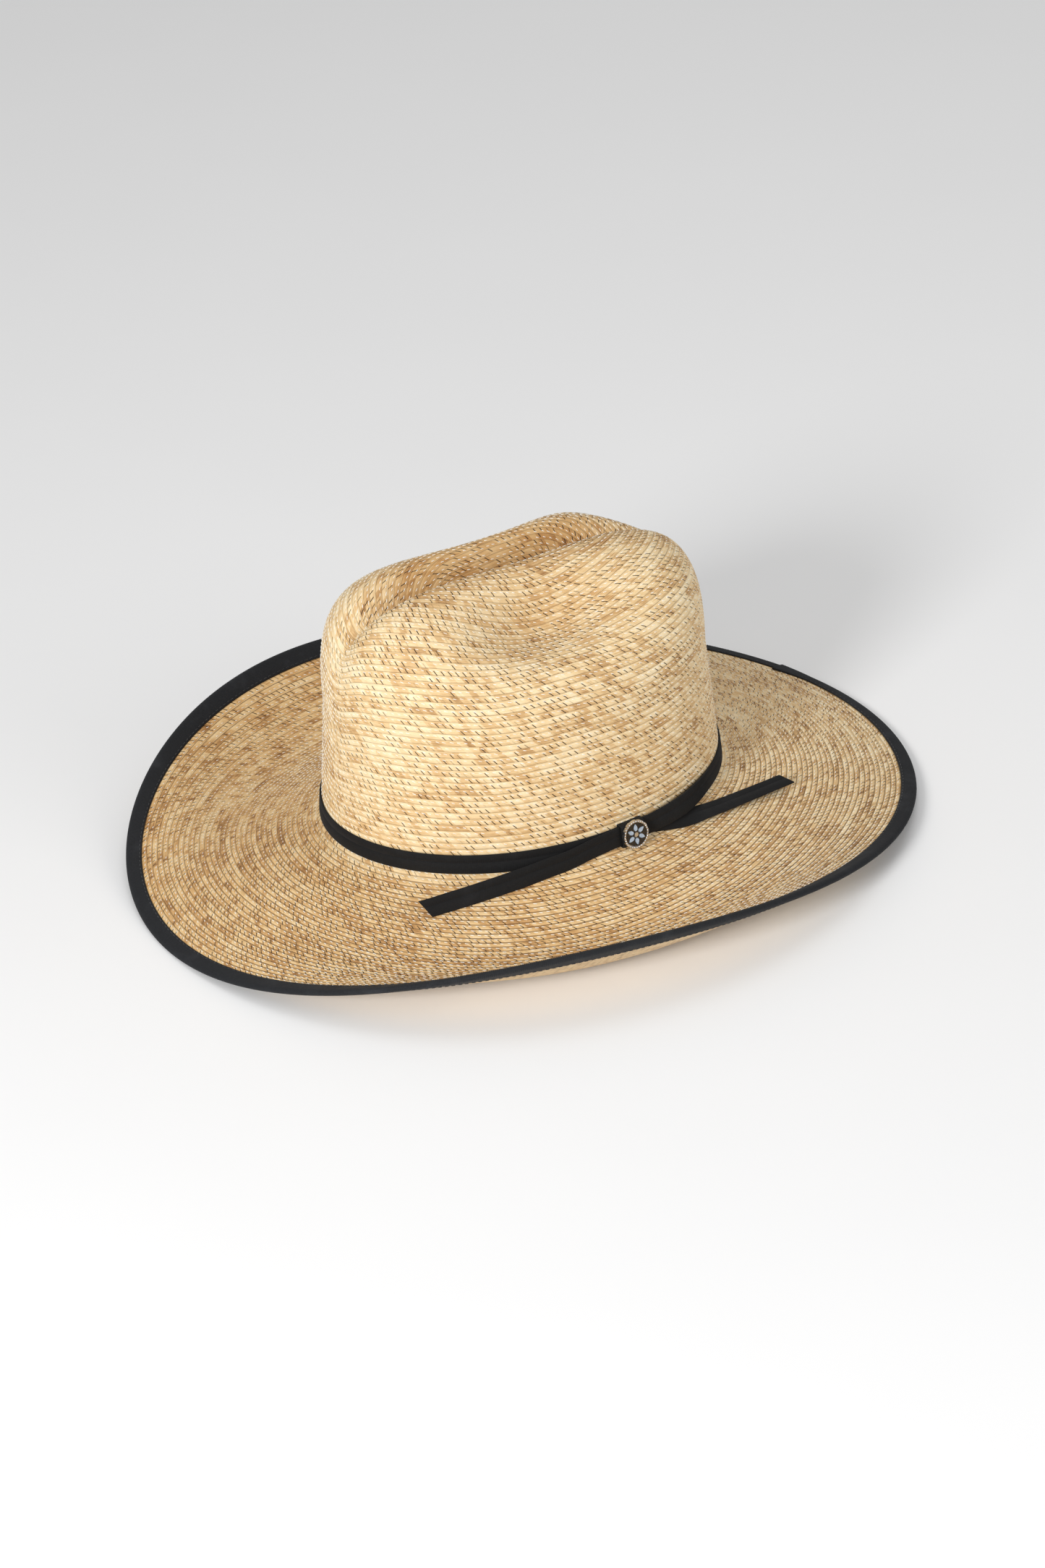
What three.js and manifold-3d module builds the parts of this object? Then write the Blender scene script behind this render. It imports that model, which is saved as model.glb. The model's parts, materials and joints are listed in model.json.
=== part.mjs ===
// A western straw hat: a spiral-sewn palm braid body with a creased crown and a
// rolled brim, a wired and bound edge, a sweatband, and a ribbon band whose two
// ends cross in a keeper under a small metal concho.
// Millimetres, +Z up, +X the wearer's left, -Y the front. The origin is at the
// bottom centre of the hat, on the surface that it stands on.
import * as THREE from "three";
import { mergeVertices } from "three/addons/utils/BufferGeometryUtils.js";
import Module from "manifold-3d";

// ---- driving dimensions -------------------------------------------------

const STATIONS = 56; // steps round the hat, shared by every piece that follows the oval
const CLEARANCE = 0.3; // gap between pieces that touch

const HEAD_HALF_LENGTH = 106.2; // oval of the braid where crown meets brim
const HEAD_HALF_WIDTH = 87.7;

const STRAW = {
  thickness: 1.6,
  crownRings: 17,
};

const CROWN = {
  wallShare: 0.36, // share of the meridian parameter used by the wall
  wallHeight: 65,
  taperFront: 0.939, // size of the oval at the top of the wall, as a share of the head oval
  taperBack: 0.966,
  taperSide: 0.904,
  domeHeight: 67.6,
  domeExponent: 3.25,
  tipHalfLength: 18.5, // the braid starts round a straight seam this long each way
};

const CREASE = { depth: 31, y: -10.7, length: 67.7, width: 8.8 };
const DENT = { in: 16, down: 24.5, x: 55, y: -4, reachX: 22.5, reachY: 47 };
const SAG = { down: 9.9, x: -25, y: 88.7, reachX: 24, reachY: 30 }; // softer back right shoulder
const SHAPING = { height: 84.5, blend: 6.2 }; // the creases fade out below this height

const BRIM = {
  width: 102.3,
  sideNarrowing: 1.2,
  frontFullness: 4.5,
  dip: -24.5, // edge height at the front and at the back
  sideRise: 8.1, // edge height at the sides
  forwardLift: 19.2, // how far the roll leans towards the front
  flareDrop: 5, // quick drop where the braid turns out of the crown
  flareReach: 7,
  slopeEnds: 0.13,
  slopeSides: 0.36,
  slopeLean: 0.8,
  rollStart: 0.28, // share of the width where the roll begins, and where it turns straight
  rollEnd: 0.95,
};
const BRIM_STEPS = [0.035, 0.08, 0.15, 0.25, 0.36, 0.47, 0.58, 0.69, 0.8, 0.88];
const TAPE_INNER = 0.923; // share of the brim's width where the binding's legs end
const STRAW_EDGE = 0.976; // share of the brim's width where the braid ends

const TAPE = { thickness: 0.5, nose: 2.6, gap: 0.42 };
const WIRE = { radius: 0.5, centre: 1.0, ferruleRadius: 0.65, ferruleStation: 28 };
const THREAD = { width: 0.5, height: 0.25, inset: 0.1 };
const STANDING_CUT = 0.3; // depth of the worn flats that the hat stands on

const SWEATBAND = { thickness: 1.5, bottom: 0.8, top: 33, reedRadius: 0.8, reedHeight: -0.6 };
const SEAM_TAPE = { halfAngle: 3.4, thickness: 0.5, bottom: 2, top: 31.5 };
const LABEL = { centreAngle: 162, halfAngle: 7.5, thickness: 0.4, bottom: 7, top: 27 };

const RIBBON = { width: 10, thickness: 0.8, bandHeight: 5.3, fromStraw: 1.5 };
const KEEPER = {
  station: 15,
  reach: 0.56, // in stations, either side
  inner: 1.1,
  outer: 5.7,
  bottom: 0.3,
  top: 12.4,
  thickness: 0.6,
  holeRadius: 1.55,
};

const CONCHO = {
  height: 6.5,
  radius: 7.5,
  scallops: 12,
  scallopDepth: 0.35,
  thickness: 1.7,
  bowlRadius: 6.4,
  bowlDepth: 0.9,
  enamelRadius: 6.1,
  enamelThickness: 0.45,
  bossRadius: 1.2,
  petals: 6,
  petalNear: 1.95,
  petalFar: 5.5,
  petalHalfWidth: 1.15,
  petalThickness: 0.7,
  petalGap: 0.3,
  postRadius: 1.2,
  postLength: 1.95,
  clutchRadius: 3.2,
  clutchThickness: 0.6,
};

// ---- materials ------------------------------------------------------------

function material(color, roughness, metalness = 0) {
  return new THREE.MeshStandardMaterial({ color, roughness, metalness });
}

const straw = material(0xdcbe8c, 0.75);
const grosgrain = material(0x2d2d30, 0.8);
const blackThread = material(0x1b1b1d, 0.85);
const wireSteel = material(0x9a9c9e, 0.4, 0.9);
const sweatCloth = material(0x3a3634, 0.9);
const whiteCloth = material(0xe6e2d8, 0.85);
const silver = material(0xc9ccd0, 0.28, 1);
const enamel = material(0x111215, 0.2);
const inlay = material(0x9fb2c8, 0.25);

// ---- small geometry helpers -------------------------------------------------

const TAU = Math.PI * 2;
const UP = new THREE.Vector3(0, 0, 1);

function stationAngle(i) {
  return (i / STATIONS) * TAU;
}

function smoothWindow(value, centre, reach) {
  return Math.exp(-(((value - centre) / reach) ** 2));
}

// A triangle list over a closed loop of sections, each a closed loop of points.
function sweptRing(sections) {
  const around = sections.length;
  const across = sections[0].length;
  const index = [];
  for (let i = 0; i < around; i++) {
    const next = (i + 1) % around;
    for (let j = 0; j < across; j++) {
      const k = (j + 1) % across;
      const [a, b, c, d] = [i * across + j, next * across + j, next * across + k, i * across + k];
      index.push(a, b, c, a, c, d);
    }
  }
  return indexedGeometry(sections.flat(), index);
}

// The same over an open run of sections, closed by a cap at each end.
function sweptStrip(sections) {
  const across = sections[0].length;
  const last = sections.length - 1;
  const index = [];
  for (let i = 0; i < last; i++) {
    for (let j = 0; j < across; j++) {
      const k = (j + 1) % across;
      const [a, b] = [i * across + j, (i + 1) * across + j];
      const [c, d] = [(i + 1) * across + k, i * across + k];
      index.push(a, b, c, a, c, d);
    }
  }
  for (let j = 1; j < across - 1; j++) {
    index.push(0, j, j + 1);
    index.push(last * across, last * across + j + 1, last * across + j);
  }
  return indexedGeometry(sections.flat(), index);
}

function indexedGeometry(points, index) {
  const geometry = new THREE.BufferGeometry();
  geometry.setAttribute("position", new THREE.Float32BufferAttribute(points.flatMap((p) => p.toArray()), 3));
  geometry.setIndex(index);
  return geometry;
}

// ---- booleans -----------------------------------------------------------------

const wasm = await Module();
wasm.setup();

function toSolid(geometry) {
  const bare = geometry.clone();
  bare.deleteAttribute("normal");
  bare.deleteAttribute("uv");
  const merged = mergeVertices(bare, 1e-4);
  return new wasm.Manifold(
    new wasm.Mesh({
      numProp: 3,
      vertProperties: new Float32Array(merged.attributes.position.array),
      triVerts: new Uint32Array(merged.index.array),
    }),
  );
}

function toGeometry(solid) {
  const mesh = solid.getMesh();
  const geometry = new THREE.BufferGeometry();
  geometry.setAttribute("position", new THREE.BufferAttribute(new Float32Array(mesh.vertProperties), 3));
  geometry.setIndex(new THREE.BufferAttribute(new Uint32Array(mesh.triVerts), 1));
  return geometry;
}

// ---- the braid's middle surface -------------------------------------------------

// The oval's outward direction at an angle round the head.
function ovalNormal(angle) {
  const x = HEAD_HALF_LENGTH * Math.sin(angle);
  const y = -HEAD_HALF_WIDTH * Math.cos(angle);
  return new THREE.Vector3(x, y, 0).normalize();
}

// A point of the crown: share 0 at the brim, 1 at the centre of the tip.
function crownPoint(angle, share) {
  const [s, c] = [Math.sin(angle), Math.cos(angle)];
  const rise = Math.min(share / CROWN.wallShare, 1);
  const turn = (Math.max(share - CROWN.wallShare, 0) / (1 - CROWN.wallShare)) * (Math.PI / 2);
  const spread = Math.cos(turn) ** (2 / CROWN.domeExponent);
  const lift = Math.sin(turn) ** (2 / CROWN.domeExponent);
  const taperLong = (CROWN.taperFront + CROWN.taperBack) / 2 + ((CROWN.taperFront - CROWN.taperBack) / 2) * c;
  const halfLength = HEAD_HALF_LENGTH * (1 - (1 - taperLong) * rise);
  const halfWidth = HEAD_HALF_WIDTH * (1 - (1 - CROWN.taperSide) * rise);
  const x = halfWidth * spread * s;
  const y = -(CROWN.tipHalfLength + (halfLength - CROWN.tipHalfLength) * spread) * c;
  const z = CROWN.wallHeight * rise + CROWN.domeHeight * lift;
  return shapeCrown(x, y, z);
}

// Presses the centre crease and the two side dents into the open crown.
function shapeCrown(x, y, z) {
  const high = 1 / (1 + Math.exp(-(z - SHAPING.height) / SHAPING.blend));
  const crease = smoothWindow(y, CREASE.y, CREASE.length) * smoothWindow(x, 0, CREASE.width) * high;
  const dent = smoothWindow(y, DENT.y, DENT.reachY) * smoothWindow(Math.abs(x), DENT.x, DENT.reachX) * high;
  const sag = smoothWindow(x, SAG.x, SAG.reachX) * smoothWindow(y, SAG.y, SAG.reachY) * high;
  return new THREE.Vector3(
    x - DENT.in * dent * Math.sign(x),
    y,
    z - CREASE.depth * crease - DENT.down * dent - SAG.down * sag,
  );
}

// Points up one meridian of the crown, evenly spaced along its length.
function crownMeridian(angle, count) {
  const fine = Array.from({ length: 241 }, (_, k) => crownPoint(angle, k / 240));
  const travelled = [0];
  for (let k = 1; k < fine.length; k++) {
    travelled.push(travelled[k - 1] + fine[k].distanceTo(fine[k - 1]));
  }
  const total = travelled[travelled.length - 1];
  const points = [];
  let k = 1;
  for (let j = 0; j <= count; j++) {
    const goal = (total * j) / count;
    while (k < fine.length - 1 && travelled[k] < goal) k++;
    const part = (goal - travelled[k - 1]) / (travelled[k] - travelled[k - 1]);
    points.push(fine[k - 1].clone().lerp(fine[k], Math.min(part, 1)));
  }
  return points;
}

function brimWidth(angle) {
  const side = Math.sin(angle) ** 2;
  return BRIM.width - BRIM.sideNarrowing * side + BRIM.frontFullness * side * Math.cos(angle);
}

function brimEdgeHeight(angle) {
  const side = Math.sin(angle) ** 2;
  return BRIM.dip + (BRIM.sideRise - BRIM.dip) * side + BRIM.forwardLift * side * Math.cos(angle);
}

function brimSlope(angle) {
  const side = Math.sin(angle) ** 2;
  const lean = 1 + BRIM.slopeLean * Math.cos(angle);
  return BRIM.slopeEnds + (BRIM.slopeSides - BRIM.slopeEnds) * side * lean;
}

// Height of the roll's ramp, 0 up to rollStart and 1 at the edge.
function rollRamp(share) {
  const span = BRIM.rollEnd - BRIM.rollStart;
  const height = (s) => {
    const t = Math.min(Math.max((s - BRIM.rollStart) / span, 0), 1);
    return span * (t ** 3 - t ** 4 / 2) + Math.max(s - BRIM.rollEnd, 0);
  };
  return height(share) / height(1);
}

// A point of the brim at a distance out from the head oval, and at a share of its width.
function brimPointAt(angle, distance) {
  const width = brimWidth(angle);
  const fall = BRIM.flareDrop * (1 - Math.exp(-distance / BRIM.flareReach)) + brimSlope(angle) * distance;
  const fullFall = BRIM.flareDrop * (1 - Math.exp(-width / BRIM.flareReach)) + brimSlope(angle) * width;
  const roll = (brimEdgeHeight(angle) + fullFall) * rollRamp(distance / width);
  const foot = new THREE.Vector3(HEAD_HALF_WIDTH * Math.sin(angle), -HEAD_HALF_LENGTH * Math.cos(angle), 0);
  return foot.addScaledVector(ovalNormal(angle), distance).addScaledVector(UP, roll - fall);
}

function brimPoint(angle, share) {
  return brimPointAt(angle, share * brimWidth(angle));
}

// ---- the braid body ---------------------------------------------------------------

// Rings of the middle surface, from the tip's seam out to the braid's cut edge.
function strawRings() {
  const meridians = Array.from({ length: STATIONS }, (_, i) =>
    crownMeridian(stationAngle(i), STRAW.crownRings).reverse(),
  );
  const rings = [];
  for (let j = 0; j <= STRAW.crownRings; j++) {
    rings.push(meridians.map((points) => points[j]));
  }
  for (const share of [...BRIM_STEPS, TAPE_INNER, STRAW_EDGE]) {
    rings.push(meridians.map((_, i) => brimPoint(stationAngle(i), share)));
  }
  return rings;
}

// Number of a grid vertex. On the tip's seam the left and right halves share theirs.
function gridVertex(ring, i) {
  const wrapped = (i + STATIONS) % STATIONS;
  return ring === 0 ? Math.min(wrapped, (STATIONS - wrapped) % STATIONS) : ring * STATIONS + wrapped;
}

function gridTriangles(ringCount) {
  const triangles = [];
  for (let j = 0; j < ringCount - 1; j++) {
    for (let i = 0; i < STATIONS; i++) {
      const [a, b] = [gridVertex(j, i), gridVertex(j, i + 1)];
      const [c, d] = [gridVertex(j + 1, i + 1), gridVertex(j + 1, i)];
      if (a !== b) triangles.push([a, c, b]);
      triangles.push([a, d, c]);
    }
  }
  return triangles;
}

function vertexNormals(points, triangles) {
  const normals = points.map(() => new THREE.Vector3());
  for (const [a, b, c] of triangles) {
    const face = points[b].clone().sub(points[a]).cross(points[c].clone().sub(points[a]));
    for (const k of [a, b, c]) normals[k].add(face);
  }
  return normals.map((n) => n.normalize());
}

const rings = strawRings();
const middle = rings.flat();
const faces = gridTriangles(rings.length);
const normals = vertexNormals(middle, faces);
const HALF_STRAW = STRAW.thickness / 2;

// A point off the middle surface, at a ring and a station.
function offSurface(ring, station, offset) {
  const k = gridVertex(ring, station);
  return middle[k].clone().addScaledVector(normals[k], offset);
}

function strawBody() {
  const count = middle.length;
  const top = middle.map((p, k) => p.clone().addScaledVector(normals[k], HALF_STRAW));
  const under = middle.map((p, k) => p.clone().addScaledVector(normals[k], -HALF_STRAW));
  const index = faces.flatMap(([a, b, c]) => [a, b, c, count + a, count + c, count + b]);
  const edge = rings.length - 1;
  for (let i = 0; i < STATIONS; i++) {
    const [a, b] = [gridVertex(edge, i), gridVertex(edge, i + 1)];
    index.push(a, count + b, b, a, count + a, count + b);
  }
  return withoutSpareVertices(indexedGeometry([...top, ...under], index));
}

// Drops vertices that no triangle uses.
function withoutSpareVertices(geometry) {
  return mergeVertices(geometry.toNonIndexed(), 1e-4);
}

// ---- the edge: binding, wire, stitching ---------------------------------------------

const LEG_RING = rings.length - 2;
const EDGE_RING = rings.length - 1;

// A point in the plane of the brim's edge: out beyond the braid, and up off its middle.
function edgePoint(station, out, up) {
  const leg = offSurface(LEG_RING, station, 0);
  const edge = offSurface(EDGE_RING, station, 0);
  const outward = edge.clone().sub(leg).normalize();
  const normal = normals[gridVertex(EDGE_RING, station)];
  return edge.addScaledVector(outward, out).addScaledVector(normal, up);
}

function tapeSection(station) {
  const inner = HALF_STRAW + TAPE.gap;
  const outer = inner + TAPE.thickness;
  const { nose } = TAPE;
  return [
    offSurface(LEG_RING, station, outer),
    edgePoint(station, 0, outer),
    edgePoint(station, nose * 0.56, outer * 0.84),
    edgePoint(station, nose * 0.88, outer * 0.47),
    edgePoint(station, nose, 0),
    edgePoint(station, nose * 0.88, -outer * 0.47),
    edgePoint(station, nose * 0.56, -outer * 0.84),
    edgePoint(station, 0, -outer),
    offSurface(LEG_RING, station, -outer),
    offSurface(LEG_RING, station, -inner),
    edgePoint(station, 0, -inner),
    edgePoint(station, (TAPE.nose - TAPE.thickness) * 0.64, -inner * 0.87),
    edgePoint(station, TAPE.nose - TAPE.thickness, 0),
    edgePoint(station, (TAPE.nose - TAPE.thickness) * 0.64, inner * 0.87),
    edgePoint(station, 0, inner),
    offSurface(LEG_RING, station, inner),
  ].reverse();
}

function tapeRing() {
  return sweptRing(Array.from({ length: STATIONS }, (_, i) => tapeSection(i)));
}

function lowestPoint(geometry) {
  geometry.computeBoundingBox();
  return geometry.boundingBox.min.z;
}

const rawTape = tapeRing();
const STANDING_HEIGHT = lowestPoint(rawTape) + STANDING_CUT;

// The binding, worn flat where the front and back dips touch the table.
function brimBinding() {
  const block = new THREE.BoxGeometry(500, 500, 20);
  block.translate(0, 0, STANDING_HEIGHT - 10);
  return toGeometry(toSolid(rawTape).subtract(toSolid(block)));
}

function wireSection(station, radius) {
  return Array.from({ length: 6 }, (_, k) => {
    const turn = (k / 6) * TAU;
    return edgePoint(station, WIRE.centre + radius * Math.cos(turn), radius * Math.sin(turn));
  });
}

// The brim wire: one turn round the edge, its two ends short of the ferrule.
function brimWire() {
  const first = WIRE.ferruleStation + 1;
  return sweptStrip(Array.from({ length: STATIONS - 1 }, (_, i) => wireSection(first + i, WIRE.radius)));
}

// The sleeve between the wire's ends, one station long, with a gap at each end.
function wireFerrule() {
  const ends = [0, 1].map((k) => wireSection(WIRE.ferruleStation + k, WIRE.ferruleRadius));
  const shrink = (near, far) => near.map((p, k) => p.clone().lerp(far[k], 0.06));
  return sweptStrip([shrink(ends[0], ends[1]), shrink(ends[1], ends[0])]);
}

// A line of stitching thread on the leg of the binding, on the top (side 1) or underneath (-1).
function bindingThread(side) {
  const low = HALF_STRAW + TAPE.gap + TAPE.thickness + CLEARANCE;
  const sections = Array.from({ length: STATIONS }, (_, i) => {
    const near = (height) => {
      const leg = offSurface(LEG_RING, i, side * height);
      return leg.lerp(edgePoint(i, 0, side * height), THREAD.inset);
    };
    const outward = (height) => {
      const leg = offSurface(LEG_RING, i, side * height);
      const edge = edgePoint(i, 0, side * height);
      return leg.lerp(edge, THREAD.inset + THREAD.width / 5.5);
    };
    const high = low + THREAD.height;
    const loop = [near(low), outward(low), outward(high), near(high)];
    return side > 0 ? loop : loop.reverse();
  });
  return sweptRing(sections);
}

// ---- inside the head opening ------------------------------------------------------------

// A point inside the crown's wall: depth in from the braid's middle, at a height.
function insideWall(angle, depth, height) {
  const wall = crownPoint(angle, (Math.max(height, 0) / CROWN.wallHeight) * CROWN.wallShare);
  wall.z = height;
  return wall.addScaledVector(ovalNormal(angle), -depth);
}

const LINING = HALF_STRAW + CLEARANCE;

function liningSection(angle, near, far, bottom, top) {
  return [
    insideWall(angle, near, bottom),
    insideWall(angle, near, top),
    insideWall(angle, far, top),
    insideWall(angle, far, bottom),
  ];
}

function sweatband() {
  const far = LINING + SWEATBAND.thickness;
  return sweptRing(
    Array.from({ length: STATIONS }, (_, i) =>
      liningSection(stationAngle(i), LINING, far, SWEATBAND.bottom, SWEATBAND.top),
    ),
  );
}

function sweatbandReed() {
  const centre = LINING + SWEATBAND.reedRadius + 0.1;
  const sections = Array.from({ length: STATIONS }, (_, i) =>
    Array.from({ length: 6 }, (_, k) => {
      const turn = (k / 6) * TAU;
      const depth = centre - SWEATBAND.reedRadius * Math.cos(turn);
      return insideWall(stationAngle(i), depth, SWEATBAND.reedHeight + SWEATBAND.reedRadius * Math.sin(turn));
    }),
  );
  return sweptRing(sections);
}

// A patch on the inside of the sweatband between two angles in degrees.
function liningPatch(fromAngle, toAngle, thickness, bottom, top) {
  const near = LINING + SWEATBAND.thickness + CLEARANCE;
  const steps = 4;
  const sections = Array.from({ length: steps + 1 }, (_, k) => {
    const angle = THREE.MathUtils.degToRad(fromAngle + ((toAngle - fromAngle) * k) / steps);
    return liningSection(angle, near, near + thickness, bottom, top);
  });
  return sweptStrip(sections);
}

function seamTape() {
  const { halfAngle, thickness, bottom, top } = SEAM_TAPE;
  return liningPatch(180 - halfAngle, 180 + halfAngle, thickness, bottom, top);
}

function sizeLabel() {
  const { centreAngle, halfAngle, thickness, bottom, top } = LABEL;
  return liningPatch(centreAngle - halfAngle, centreAngle + halfAngle, thickness, bottom, top);
}

// ---- the band ------------------------------------------------------------------------------

// A point off the wall at a station, which may lie between two whole stations.
function offWall(station, off, height) {
  const low = Math.floor(station);
  const at = (i) => {
    const angle = stationAngle(i);
    const wall = crownPoint(angle, (Math.max(height, 0) / CROWN.wallHeight) * CROWN.wallShare);
    wall.z = height;
    return wall.addScaledVector(ovalNormal(angle), off);
  };
  return at(low).lerp(at(low + 1), station - low);
}

// Direction up the wall at a station.
function upWall(station) {
  return offWall(station, 0, CROWN.wallHeight).sub(offWall(station, 0, 0)).normalize();
}

// Angle of the wall from flat, in degrees.
function wallTilt(station) {
  return THREE.MathUtils.radToDeg(Math.asin(upWall(station).z));
}

// The ribbon's section. Tilt is its lean from flat, the wall's own angle where it lies against it.
// Slant carries its upper edge further round than its lower one, in stations.
function ribbonSection({ station, off, height, tilt = wallTilt(station), slant = 0 }) {
  const lean = THREE.MathUtils.degToRad(tilt);
  const [cos, sin] = [Math.cos(lean), Math.sin(lean)];
  const [w, t] = [RIBBON.width / 2, RIBBON.thickness / 2];
  const corner = (along, through) => {
    const at = station + (slant / 2) * (along / w);
    const flat = offWall(at, off - along * cos + through * sin, height);
    return flat.addScaledVector(UP, along * sin + through * cos);
  };
  return [corner(-w, -t), corner(-w, t), corner(w, t), corner(w, -t)];
}

// Height of the ribbon's centre when its lower edge rides a little over the brim.
function ridingHeight(station, off, tilt, lift) {
  const lean = THREE.MathUtils.degToRad(tilt);
  const reach = off + (RIBBON.width / 2) * Math.cos(lean);
  const ground = brimPointAt(stationAngle(station), reach).z + HALF_STRAW;
  return ground + lift + (RIBBON.width / 2) * Math.sin(lean) + RIBBON.thickness / 2;
}

function ridingStation({ station, off, tilt, lift, slant }) {
  return { station, off, tilt, slant, height: ridingHeight(station, off, tilt, lift) };
}

// The end that runs forward, from its tip to the keeper. It stays outermost.
const FRONT_TAIL = [
  { station: 6.3, off: 25.2, tilt: 62, lift: 0.8, slant: -0.6 },
  { station: 7, off: 20.1, tilt: 63, lift: 0.8 },
  { station: 8, off: 14.6, tilt: 65, lift: 0.8 },
  { station: 9, off: 10.5, tilt: 67, lift: 0.8 },
  { station: 10, off: 7.6, tilt: 70, lift: 0.8 },
  { station: 11, off: 5.4, tilt: 74, lift: 0.8 },
  { station: 12, off: 4.2, tilt: 78, lift: 0.9 },
];

// The crossing: the outer strand climbs on to the band while the inner one dives under it.
const OUTER_CROSSING = [
  { station: 13, off: 3.5, height: 4.5, tilt: 80 },
  { station: 14, off: 3.4, height: 5.9 },
  { station: 15, off: 3.5, height: 6.5 },
  { station: 16, off: 3.85, height: 6.8 },
  { station: 17, off: 4.9, height: 7.4, tilt: 76 },
  { station: 18, off: 4.9, height: 7.4, tilt: 74 },
  { station: 19, off: 3.9, height: 7.1, tilt: 78 },
  { station: 20, off: 2.6, height: 6.4 },
  { station: 21, off: 1.7, height: 5.6 },
];
const INNER_CROSSING = [
  { station: 14, off: 2.1, height: 5.8 },
  { station: 15, off: 2.4, height: 6.3 },
  { station: 16, off: 2.5, height: 5.9 },
  { station: 17, off: 3.3, height: 2.9, tilt: 66 },
];

// The end that runs back, from under the band to its tip. It lies nearly flat on the brim.
const BACK_TAIL = [
  { station: 18, off: 5.2, tilt: 38, lift: 1.6 },
  { station: 19, off: 7.9, tilt: 22, lift: 2 },
  { station: 20, off: 12.9, tilt: 17, lift: 2.4 },
  { station: 21, off: 19.9, tilt: 16, lift: 3 },
  { station: 22, off: 29.7, tilt: 17, lift: 3.7 },
  { station: 22.5, off: 36, tilt: 18, lift: 4.2 },
];

function bandRound() {
  const stations = [];
  for (let i = 22; i < STATIONS + 14; i++) {
    stations.push({ station: i, off: RIBBON.fromStraw, height: RIBBON.bandHeight });
  }
  return stations;
}

function bandRibbon() {
  const lap = (list) => list.map((s) => ({ ...s, station: s.station + STATIONS }));
  const front = [...FRONT_TAIL.map(ridingStation), ...OUTER_CROSSING];
  const back = [...INNER_CROSSING, ...BACK_TAIL.map(ridingStation)];
  return sweptStrip([...front, ...bandRound(), ...lap(back)].map(ribbonSection));
}

// The ribbon loop that holds the crossing, with an eyelet for the concho's post.
function keeperLoop() {
  const { station, reach, inner, outer, bottom, top, thickness } = KEEPER;
  const loop = (grow) =>
    [station - reach, station, station + reach].map((at) => [
      offWall(at, inner + grow, bottom + grow),
      offWall(at, outer - grow, bottom + grow),
      offWall(at, outer - grow, top - grow),
      offWall(at, inner + grow, top - grow),
    ]);
  const longer = loop(thickness);
  longer[0] = longer[0].map((p, k) => p.clone().lerp(longer[1][k], -0.2));
  longer[2] = longer[2].map((p, k) => p.clone().lerp(longer[1][k], -0.2));
  const eyelet = new THREE.CylinderGeometry(KEEPER.holeRadius, KEEPER.holeRadius, 1.5, 20);
  eyelet.rotateX(Math.PI / 2);
  eyelet.applyMatrix4(conchoPlace(outer - thickness / 2));
  return toGeometry(toSolid(sweptStrip(loop(0))).subtract(toSolid(sweptStrip(longer))).subtract(toSolid(eyelet)));
}

// ---- the concho ---------------------------------------------------------------------------------

// Frame on the keeper's face: local +Z points out of the hat, +Y runs up the wall.
function conchoPlace(off) {
  const angle = stationAngle(KEEPER.station);
  const out = ovalNormal(angle);
  const right = UP.clone().cross(out);
  const rise = upWall(KEEPER.station);
  const place = offWall(KEEPER.station, off, CONCHO.height);
  return new THREE.Matrix4().makeBasis(right, rise, right.clone().cross(rise)).setPosition(place);
}

function disc(radius, thickness, from = 0, segments = 36) {
  const shape = new THREE.CylinderGeometry(radius, radius, thickness, segments);
  shape.rotateX(Math.PI / 2);
  shape.translate(0, 0, from + thickness / 2);
  return shape;
}

function scallopedDisc() {
  const outline = new THREE.Shape();
  const steps = CONCHO.scallops * 6;
  for (let k = 0; k < steps; k++) {
    const turn = (k / steps) * TAU;
    const r = CONCHO.radius - CONCHO.scallopDepth * (1 - Math.abs(Math.cos((turn * CONCHO.scallops) / 2)));
    const [x, y] = [r * Math.cos(turn), r * Math.sin(turn)];
    if (k === 0) outline.moveTo(x, y);
    else outline.lineTo(x, y);
  }
  return new THREE.ExtrudeGeometry(outline, { depth: CONCHO.thickness, bevelEnabled: false });
}

function petalPrism(index, grow, thickness, from) {
  const [near, far] = [CONCHO.petalNear - grow, CONCHO.petalFar + grow];
  const half = CONCHO.petalHalfWidth + grow;
  const middleOut = (near + far) / 2;
  const outline = new THREE.Shape();
  outline.moveTo(near, 0);
  outline.bezierCurveTo(near, -half, middleOut, -half * 1.4, far, 0);
  outline.bezierCurveTo(middleOut, half * 1.4, near, half, near, 0);
  const prism = new THREE.ExtrudeGeometry(outline, { depth: thickness, bevelEnabled: false, curveSegments: 5 });
  prism.translate(0, 0, from);
  prism.rotateZ((index / CONCHO.petals) * TAU + Math.PI / 2);
  return prism;
}

// Silver face with a raised rim, a bowl, a centre boss and the post behind.
function conchoFrame() {
  const floor = CONCHO.thickness - CONCHO.bowlDepth;
  const bowl = toSolid(disc(CONCHO.bowlRadius, CONCHO.bowlDepth + 1, floor));
  const boss = toSolid(disc(CONCHO.bossRadius, CONCHO.bowlDepth + 0.2, floor - 0.2, 20));
  const post = toSolid(disc(CONCHO.postRadius, CONCHO.postLength + 0.2, -CONCHO.postLength, 20));
  return toGeometry(toSolid(scallopedDisc()).subtract(bowl).add(boss).add(post));
}

const BOWL_FLOOR = CONCHO.thickness - CONCHO.bowlDepth + CLEARANCE;

function conchoEnamel() {
  let plate = toSolid(disc(CONCHO.enamelRadius, CONCHO.enamelThickness, BOWL_FLOOR));
  plate = plate.subtract(toSolid(disc(CONCHO.bossRadius + CLEARANCE, 2, 0, 20)));
  for (let k = 0; k < CONCHO.petals; k++) {
    plate = plate.subtract(toSolid(petalPrism(k, CONCHO.petalGap, 2, 0)));
  }
  return toGeometry(plate);
}

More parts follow.
